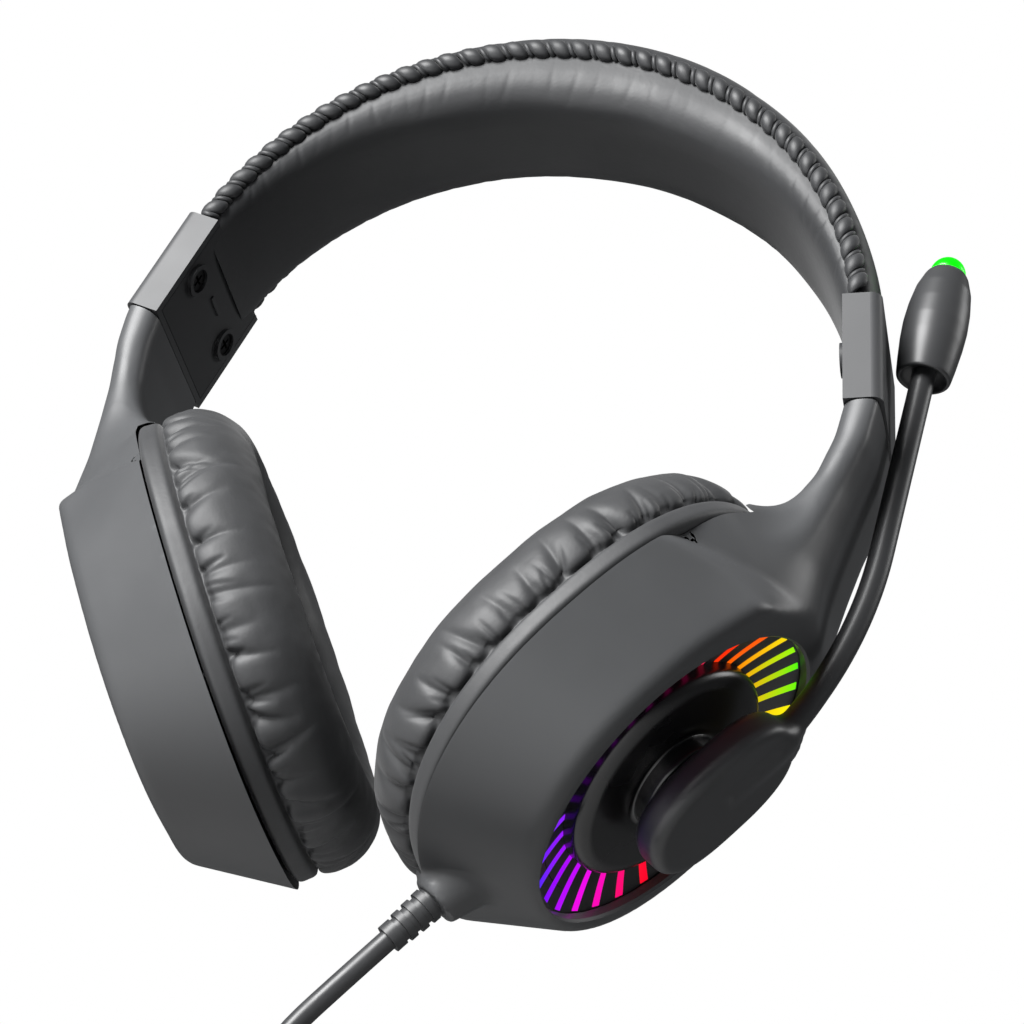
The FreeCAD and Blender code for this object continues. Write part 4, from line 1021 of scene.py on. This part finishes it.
def mic_block_field(a, y, t):
    """Field of the block that carries the boom, in the cup frame."""
    middle_a, middle_y, middle_t = MIC_SLAB_CENTRE
    half_a, half_y, half_t = MIC_SLAB_HALF
    outline = oval_distance(y - middle_y, t - middle_t, half_y, half_t, 2.5)
    slab = smooth_max(outline, np.abs(a - middle_a) - half_a, 2.4)
    neck = np.maximum(np.hypot(y, t) - 8.6, np.abs(a - 22.0) - 4.5)
    body = smooth_min(slab, neck, 1.5)
    along = np.clip((t - 12.0) / 22.0, 0, 1)
    start_a, _, start_t = BOOM_START
    centre = start_a - 0.5 * np.maximum(t - start_t, 0) ** 2 / BOOM_BEND - 0.07 * (t - start_t)
    centre = np.minimum(centre, start_a - 0.12 * (start_t - t))
    root = np.hypot(a - centre, y) - (2.9 - 0.4 * along)
    root = np.maximum(root, np.maximum(6.0 - t, t - 36.0))
    return smooth_min(body, root, 3.0)


def make_microphone():
    """Block, boom, capsule and lit tip."""
    step = 0.6
    points, faces = iso_mesh(mic_block_field, (16.0, -15.0, -18.0), (33.0, 16.0, 38.0), step)
    add_piece("mic_block", CUP.room(points), faces, "microphone", "boom_plastic", ["mic_arm"], 50.0)
    path, directions = boom_path()
    points, faces = tube(path, directions, BOOM_RADIUS, 36)
    add_piece("mic_tube", CUP.room(points), faces, "microphone", "boom_plastic", ["mic_boom"], 50.0)
    along = directions[BOOM_STEPS]
    end = path[BOOM_STEPS] + along * CAPSULE_AT
    points, faces = lathe(rounded_outline(CAPSULE_OUTLINE, 0.5, 3), 72)
    points = about(CUP, points, end, along)
    add_piece("mic_shell", points, faces, "microphone", "boom_plastic", ["mic_capsule"], 45.0)
    arc = [k * math.pi / 20 for k in range(10)]
    dome = [(3.75 * math.cos(angle), 26.7 + 3.9 * math.sin(angle)) for angle in arc]
    points, faces = lathe([(3.2, 26.0)] + dome, 64)
    points = about(CUP, points, end, along)
    add_piece("mic_light", points, faces, "microphone", "green_tip", ["mic_tip"], 60.0)


for side in ("left", "right"):
    make_face(side)
    make_hub(side)
make_microphone()


# ---- ear pads
def curve_between(p, s):
    """Point of the smooth curve through four points, a share s from the second to the third."""
    return 0.5 * (2 * p[1] + (p[2] - p[0]) * s + (2 * p[0] - 5 * p[1] + 4 * p[2] - p[3]) * s ** 2
                  + (3 * p[1] - p[0] - 3 * p[2] + p[3]) * s ** 3)


def resampled(outline, count):
    """Even points along the smooth closed curve through an outline's points."""
    outline = np.array(outline, float)
    dense = []
    for k in range(len(outline)):
        p = [outline[(k + j) % len(outline)] for j in (-1, 0, 1, 2)]
        dense += [curve_between(p, s) for s in np.arange(0, 1, 0.05)]
    dense = np.array(dense + [outline[0]])
    length = np.concatenate([[0], np.cumsum(np.linalg.norm(np.diff(dense, axis=0), axis=1))])
    where = np.linspace(0, length[-1], count, endpoint=False)
    return np.stack([np.interp(where, length, dense[:, k]) for k in range(2)], 1)


def grid_normals(points):
    """Unit normals of a grid of points that closes both ways."""
    along = np.roll(points, -1, 0) - np.roll(points, 1, 0)
    across = np.roll(points, -1, 1) - np.roll(points, 1, 1)
    out = np.cross(along, across)
    return out / np.maximum(np.linalg.norm(out, axis=2, keepdims=True), 1e-9)


CLOTH_FRAMES = 20


def inflated(points, faces, held, pressure, cap):
    """Points after a short cloth simulation under pressure, moved at most by a cap in millimetres."""
    mesh = new_mesh("cloth", points, faces)
    fixed_normals(mesh)
    cloth = new_object("cloth", mesh)
    group = cloth.vertex_groups.new(name="held")
    group.add([int(k) for k in np.flatnonzero(held)], 1.0, "REPLACE")
    modifier = cloth.modifiers.new("cloth", "CLOTH")
    settings = modifier.settings
    settings.quality = 6
    settings.mass = 0.3
    settings.tension_stiffness = 25
    settings.compression_stiffness = 25
    settings.bending_stiffness = 2.0
    settings.use_pressure = True
    settings.uniform_pressure_force = pressure
    settings.effector_weights.gravity = 0
    settings.vertex_group_mass = "held"
    modifier.point_cache.frame_start = 1
    modifier.point_cache.frame_end = CLOTH_FRAMES
    for step in range(1, CLOTH_FRAMES + 1):
        bpy.context.scene.frame_set(step)
    depsgraph = bpy.context.evaluated_depsgraph_get()
    result = cloth.evaluated_get(depsgraph).data
    moved = np.array([v.co for v in result.vertices]) / MM
    bpy.data.objects.remove(cloth)
    bpy.data.meshes.remove(mesh)
    bpy.context.scene.frame_set(1)
    shift = moved - points
    size = np.linalg.norm(shift, axis=1, keepdims=True)
    shift *= np.minimum(1, cap / np.maximum(size, 1e-9))
    return points + shift


def refined(grid, rows, cols, wrap_cols):
    """Grid of points resampled finer with smooth curves, its rows closed."""
    finer = []
    for line in np.swapaxes(grid, 0, 1):
        where = np.arange(rows) * len(line) / rows
        base = where.astype(int)
        p = [line[(base + j) % len(line)] for j in (-1, 0, 1, 2)]
        finer.append(curve_between(p, (where - base)[:, None]))
    finer = np.array(finer)
    size = len(finer)
    if wrap_cols:
        where = np.arange(cols) * size / cols
    else:
        where = np.minimum(np.linspace(0, size - 1, cols), size - 1.0001)
    base = where.astype(int)
    p = []
    for j in (-1, 0, 1, 2):
        index = (base + j) % size if wrap_cols else np.clip(base + j, 0, size - 1)
        p.append(finer[index])
    return np.swapaxes(curve_between(p, (where - base)[:, None, None]), 0, 1)


PAD_HALF_T = 47.2
PAD_HALF_Y = 44.6
PAD_SHIFT_T = 0.8
PAD_DEPTH = 22.2
PAD_SEAM_A = -5.4
PAD_RIM_RADIUS = 46.4
PAD_WALL_RADIUS = 36.0
PUCKER_COUNT = 46
PAD_OUTLINE = [
    (3.0, -0.25), (0.7, -0.28), (0.1, -0.7), (-0.1, -2.4), (0.1, -4.2), (0.9, -4.95), (1.7, -5.4),
    (1.0, -5.9), (0.2, -6.9), (-0.1, -9.0), (0.0, -11.5), (0.9, -14.6), (2.6, -17.4), (5.2, -19.6), (8.4, -20.8),
    (11.8, -21.1), (15.0, -20.5), (17.6, -18.9), (18.9, -17.4), (20.2, -15.6), (21.4, -12.6), (22.0, -9.0),
    (21.8, -5.0), (21.2, -1.6), (20.2, -0.5), (18.0, -0.35), (10.0, -0.35),
]


def pad_grid(rows, outline):
    """Points of the pad: rows round the cup, columns round its section."""
    angles = TAU * np.arange(rows) / rows
    inset = outline[:, 0][None, :]
    depth = outline[:, 1][None, :]
    share = np.clip(inset / PAD_DEPTH, 0, 1)
    power = OVAL_POWER - 0.1 * share
    sine = np.sin(angles)[:, None]
    cosine = np.cos(angles)[:, None]
    y = (PAD_HALF_Y - inset) * np.sign(sine) * np.abs(sine) ** (2 / power)
    t = (PAD_HALF_T - inset) * np.sign(cosine) * np.abs(cosine) ** (2 / power)
    shift = PAD_SHIFT_T * (1 - share)
    return np.stack([depth + 0 * y, y, t + shift], 2)


def even_rows(rows, outline):
    """Pad grid with its rows spread evenly round the rim."""
    dense = pad_grid(2880, outline)
    rim = dense[:, 0, 1:]
    step = np.linalg.norm(np.roll(rim, -1, 0) - rim, axis=1)
    length = np.concatenate([[0], np.cumsum(step)])
    want = np.arange(rows) * length[-1] / rows
    index = np.searchsorted(length, want)
    return dense[np.clip(index, 0, 2879)]


def make_pad(side):
    """Stuffed ear pad: smooth skirt, deep seam, gathered wall and soft crown."""
    seed = 3 if side == "left" else 8
    random = np.random.default_rng(seed)
    coarse_rows = 132
    coarse_cols = 44
    outline = resampled(PAD_OUTLINE, coarse_cols)
    grid = even_rows(coarse_rows, outline)
    held = np.zeros((coarse_rows, coarse_cols), bool)
    near_seam = (outline[:, 0] < 3) & (np.abs(outline[:, 1] - PAD_SEAM_A) < 0.9)
    held[:, near_seam | (outline[:, 1] > -4.6)] = True
    faces = grid_faces(coarse_rows, coarse_cols, wrap_rows=True, wrap_cols=True)
    flat = inflated(CUP.room(grid.reshape(-1, 3)), faces, held.ravel(), 4.0, 1.3)
    grid = CUP.local(flat).reshape(grid.shape)

    rows, cols = ((880, 240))
    fine = refined(grid, rows, cols, True)
    out = grid_normals(fine)
    middle = fine.mean((0, 1))
    if ((fine - middle) * out)[:, :, 1:].sum() < 0:
        out = -out
    rim = TAU * PAD_RIM_RADIUS
    place = rim * np.arange(rows)[:, None] / rows
    a = fine[:, :, 0]
    outer_wall = np.hypot(fine[:, :, 1], fine[:, :, 2] - PAD_SHIFT_T) > PAD_WALL_RADIUS
    below = np.clip(PAD_SEAM_A - a, 0, 30)
    wall = outer_wall & (a < PAD_SEAM_A + 0.05)
    push = np.zeros(a.shape)
    for k in range(PUCKER_COUNT):
        centre = rim * (k + random.uniform(-0.28, 0.28)) / PUCKER_COUNT
        slant = random.uniform(-0.35, 0.35)
        reach = random.uniform(8.0, 15.0)
        deep = random.uniform(1.2, 2.2)
        width = random.uniform(1.1, 1.7)
        off = (place - centre - slant * below + rim / 2) % rim - rim / 2
        fade = np.clip(1 - below / reach, 0, 1) ** 1.3
        spread = width * (1.2 - 0.6 * np.clip(below / reach, 0, 1))
        push -= deep * fade * np.exp(-np.abs(off / spread) ** 1.5)
        for _ in range(2):
            shift = random.uniform(-2.6, 2.6)
            lean = slant + random.uniform(-0.35, 0.35)
            off = (place - centre - shift - lean * below + rim / 2) % rim - rim / 2
            short = reach * random.uniform(0.3, 0.65)
            push -= 0.38 * deep * np.clip(1 - below / short, 0, 1) * np.exp(-(off / 0.5) ** 2)
    push += 0.8 * np.clip(1 - below / 13.0, 0, 1)
    push *= np.clip(below / 0.7, 0, 1) * wall
    swell = wobble(fine.reshape(-1, 3), 9.0, seed).reshape(a.shape)
    small = wobble(fine.reshape(-1, 3), 3.0, seed + 1).reshape(a.shape)
    soft = np.clip((-a - 7.0) / 6.0, 0, 1)
    push += soft * (0.28 * swell + 0.07 * small)
    fine = fine + out * push[:, :, None]
    room = CUP.room(fine.reshape(-1, 3))
    faces = grid_faces(rows, cols, wrap_rows=True, wrap_cols=True)
    pad = add_cup_piece(side, "pad", room, faces, "pad_leatherette", ["ear_pad"], 70.0)


# ---- headband
BAND_FOOT = math.radians(15.8)
COVER_AT_CROWN = 7.8
COVER_AT_CAP = 3.6
CUSHION_AT_CROWN = 14.0
CUSHION_AT_CAP = 3.7
COVER_HALF_Y = 16.2
LACE_PITCH = 4.75


def band_point(angle, offset_cap=0.0, offset_crown=0.0):
    """Point of the band's ellipse, moved outward by an offset that grows from cap to crown."""
    return np.stack([
        (BAND_HALF_X + offset_cap) * np.cos(angle),
        BAND_CENTRE_Z + (BAND_HEIGHT + offset_crown) * np.sin(angle),
    ], -1)


def band_surface(rows, cols, at_cap, at_crown, power):
    """Closed pillow along the band: rows along it, columns round its section."""
    angles = np.linspace(BAND_FOOT, math.pi - BAND_FOOT, rows)
    turn = TAU * np.arange(cols) / cols
    cosine = np.cos(turn)
    sine = np.sin(turn)
    y = COVER_HALF_Y * np.sign(cosine) * np.abs(cosine) ** (2 / power)
    rise = np.where(sine > 0, np.abs(sine) ** (2 / power), -0.05 * np.abs(sine))
    middle = band_point(angles)[:, None, :]
    outer = band_point(angles, at_cap, at_crown)[:, None, :]
    flat = middle + (outer - middle) * rise[None, :, None]
    points = np.zeros((rows, cols, 3))
    points[:, :, 0] = flat[:, :, 0]
    points[:, :, 2] = flat[:, :, 1]
    points[:, :, 1] = y[None, :]
    return points, rise


def stretched(grid, rows, cols):
    """Tube grid resampled finer: open along its rows, closed round its columns."""
    return np.swapaxes(refined(np.swapaxes(grid, 0, 1), cols, rows, False), 0, 1)


def make_band_piece(name, node, at_cap, at_crown, power, pressure, gather, seed):
    """Cover or cushion of the headband, stuffed and gathered along its laced edges."""
    coarse_rows, coarse_cols = 90, 40
    grid, rise = band_surface(coarse_rows, coarse_cols, at_cap, at_crown, power)
    held = np.zeros((coarse_rows, coarse_cols), bool)
    held[:, rise < 0.35] = True
    held[:5, :] = True
    held[-5:, :] = True
    flat = inflated(grid.reshape(-1, 3), capped_faces(coarse_rows, coarse_cols), held.ravel(), pressure, 1.2)
    grid = flat.reshape(grid.shape)
    rows, cols = ((1000, 200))
    fine = stretched(grid, rows, cols)
    random = np.random.default_rng(seed)
    angle = np.linspace(BAND_FOOT, math.pi - BAND_FOOT, rows)
    step = np.linalg.norm(np.diff(band_point(angle), axis=0), axis=1)
    place = np.concatenate([[0], np.cumsum(step)])[:, None]
    edge = COVER_HALF_Y - np.abs(fine[:, :, 1])
    centre = np.array([0, 0, BAND_CENTRE_Z])
    out = fine - centre
    out[:, :, 1] = 0
    out /= np.linalg.norm(out, axis=2, keepdims=True)
    if at_cap < 0:
        out = -out
    upper = (rise > -0.02).astype(float)
    shape_rise = np.interp(np.arange(cols) / cols, np.arange(coarse_cols) / coarse_cols, upper)[None, :]
    push = np.zeros(edge.shape)
    for sign in (-1, 1):
        here = np.sign(fine[:, :, 1]) == sign
        for k in range(int(place[-1] / LACE_PITCH)):
            spot = (k + 0.5 + random.uniform(-0.2, 0.2)) * LACE_PITCH
            lean = random.uniform(-0.5, 0.5)
            reach = random.uniform(2.0, 5.5)
            deep = gather * random.uniform(0.2, 1.0)
            off = place - spot - lean * edge
            near = np.abs(place[:, 0] - spot) < 9
            part = np.exp(-(off[near] / (0.7 + 0.1 * edge[near])) ** 2)
            push[near] -= here[near] * deep * part * np.clip(1 - edge[near] / reach, 0, 1)
    soft = np.clip(edge / 4.0, 0, 1)
    swell = wobble(fine.reshape(-1, 3), 16.0, seed).reshape(edge.shape)
    push += soft * 0.3 * swell
    ends = np.clip(np.minimum(place, place[-1] - place) / 12.0, 0, 1)
    fine = fine + out * (push * shape_rise * ends)[:, :, None]
    faces = capped_faces(rows, cols)
    obj = add_piece(name, fine.reshape(-1, 3), faces, "headband", "band_leatherette", [node], 60.0)


# strands of one stitch: place along the edge, half width, half height and slant
STRANDS = ((0.0, 1.85, 0.8, 3.6), (2.3, 0.6, 0.5, 3.2))
STRAND_ROWS = 15
STRAND_SIDES = 12
WRAP_ANGLE = math.radians(128)
LACE_EDGE_Y = 16.4
LACE_OUT = 1.3


def make_lacing():
    """Whip stitches wrapped over both edges of the headband."""
    angle = np.linspace(BAND_FOOT + 0.03, math.pi - BAND_FOOT - 0.03, 4000)
    middle = band_point(angle)
    length = np.concatenate([[0], np.cumsum(np.linalg.norm(np.diff(middle, axis=0), axis=1))])
    count = int(length[-1] / LACE_PITCH)
    pitch = length[-1] / count

    def at(place):
        """Point of the edge line and its direction."""
        x = np.interp(place, length, middle[:, 0])
        z = np.interp(place, length, middle[:, 1])
        ahead = np.array([
            np.interp(place + 0.2, length, middle[:, 0]) - np.interp(place - 0.2, length, middle[:, 0]),
            np.interp(place + 0.2, length, middle[:, 1]) - np.interp(place - 0.2, length, middle[:, 1]),
        ])
        ahead /= np.linalg.norm(ahead) + 1e-12
        return np.array([x, z]), ahead

    for sign, name in ((-1, "front"), (1, "rear")):
        points = []
        faces = []
        random = np.random.default_rng(5 + sign)
        for k in range(count):
            for offset, half, height, slant in STRANDS:
                start = len(points)
                spot = (k + 0.5) * pitch + offset + random.uniform(-0.12, 0.12)
                for i in range(STRAND_ROWS):
                    share = i / (STRAND_ROWS - 1) * 2 - 1
                    turn = WRAP_ANGLE * share
                    centre, ahead = at(np.clip(spot + slant * share * 0.5, 0.3, length[-1] - 0.3))
                    normal_2d = np.array([ahead[1], -ahead[0]])
                    if normal_2d @ (centre - np.array([0, BAND_CENTRE_Z])) < 0:
                        normal_2d = -normal_2d
                    taper = 1 - 0.7 * abs(share) ** 4
                    for j in range(STRAND_SIDES):
                        roll = TAU * j / STRAND_SIDES
                        side = half * taper * math.cos(roll)
                        out = LACE_OUT + height * taper * math.sin(roll)
                        y = sign * (LACE_EDGE_Y + out * math.cos(turn))
                        n = out * math.sin(turn) * 1.15 - 0.4
                        points.append((
                            centre[0] + normal_2d[0] * n + ahead[0] * side,
                            y,
                            centre[1] + normal_2d[1] * n + ahead[1] * side,
                        ))
                faces += capped_faces(STRAND_ROWS, STRAND_SIDES, start)
        add_piece("stitches_" + name, points, faces, "headband", "lacing", ["lacing_" + name], 60.0)


for side in ("left", "right"):
    make_pad(side)
make_band_piece("band_cover", "headband_top_cover", COVER_AT_CAP, COVER_AT_CROWN, 2.5, 3.0, 0.35, 11)
make_band_piece("band_cushion", "headband_cushion", -CUSHION_AT_CAP, -CUSHION_AT_CROWN, 3.8, 3.0, 0.28, 12)
make_lacing()


# ---- edges and sizes
def soften_cad_edges():
    """Small rounded edges on the CAD pieces that stay in sight."""
    for node, width in (("end_cap", 0.5), ("end_plate", 0.25), ("end_screws", 0.1)):
        for side in ("left", "right"):
            obj = frame["nodes"][side + "_" + node]
            bevel = obj.modifiers.new("edges", "BEVEL")
            bevel.width = width * MM
            bevel.segments = 3
            bevel.limit_method = "ANGLE"
            bevel.angle_limit = math.radians(40)
            bevel.harden_normals = True


soften_cad_edges()
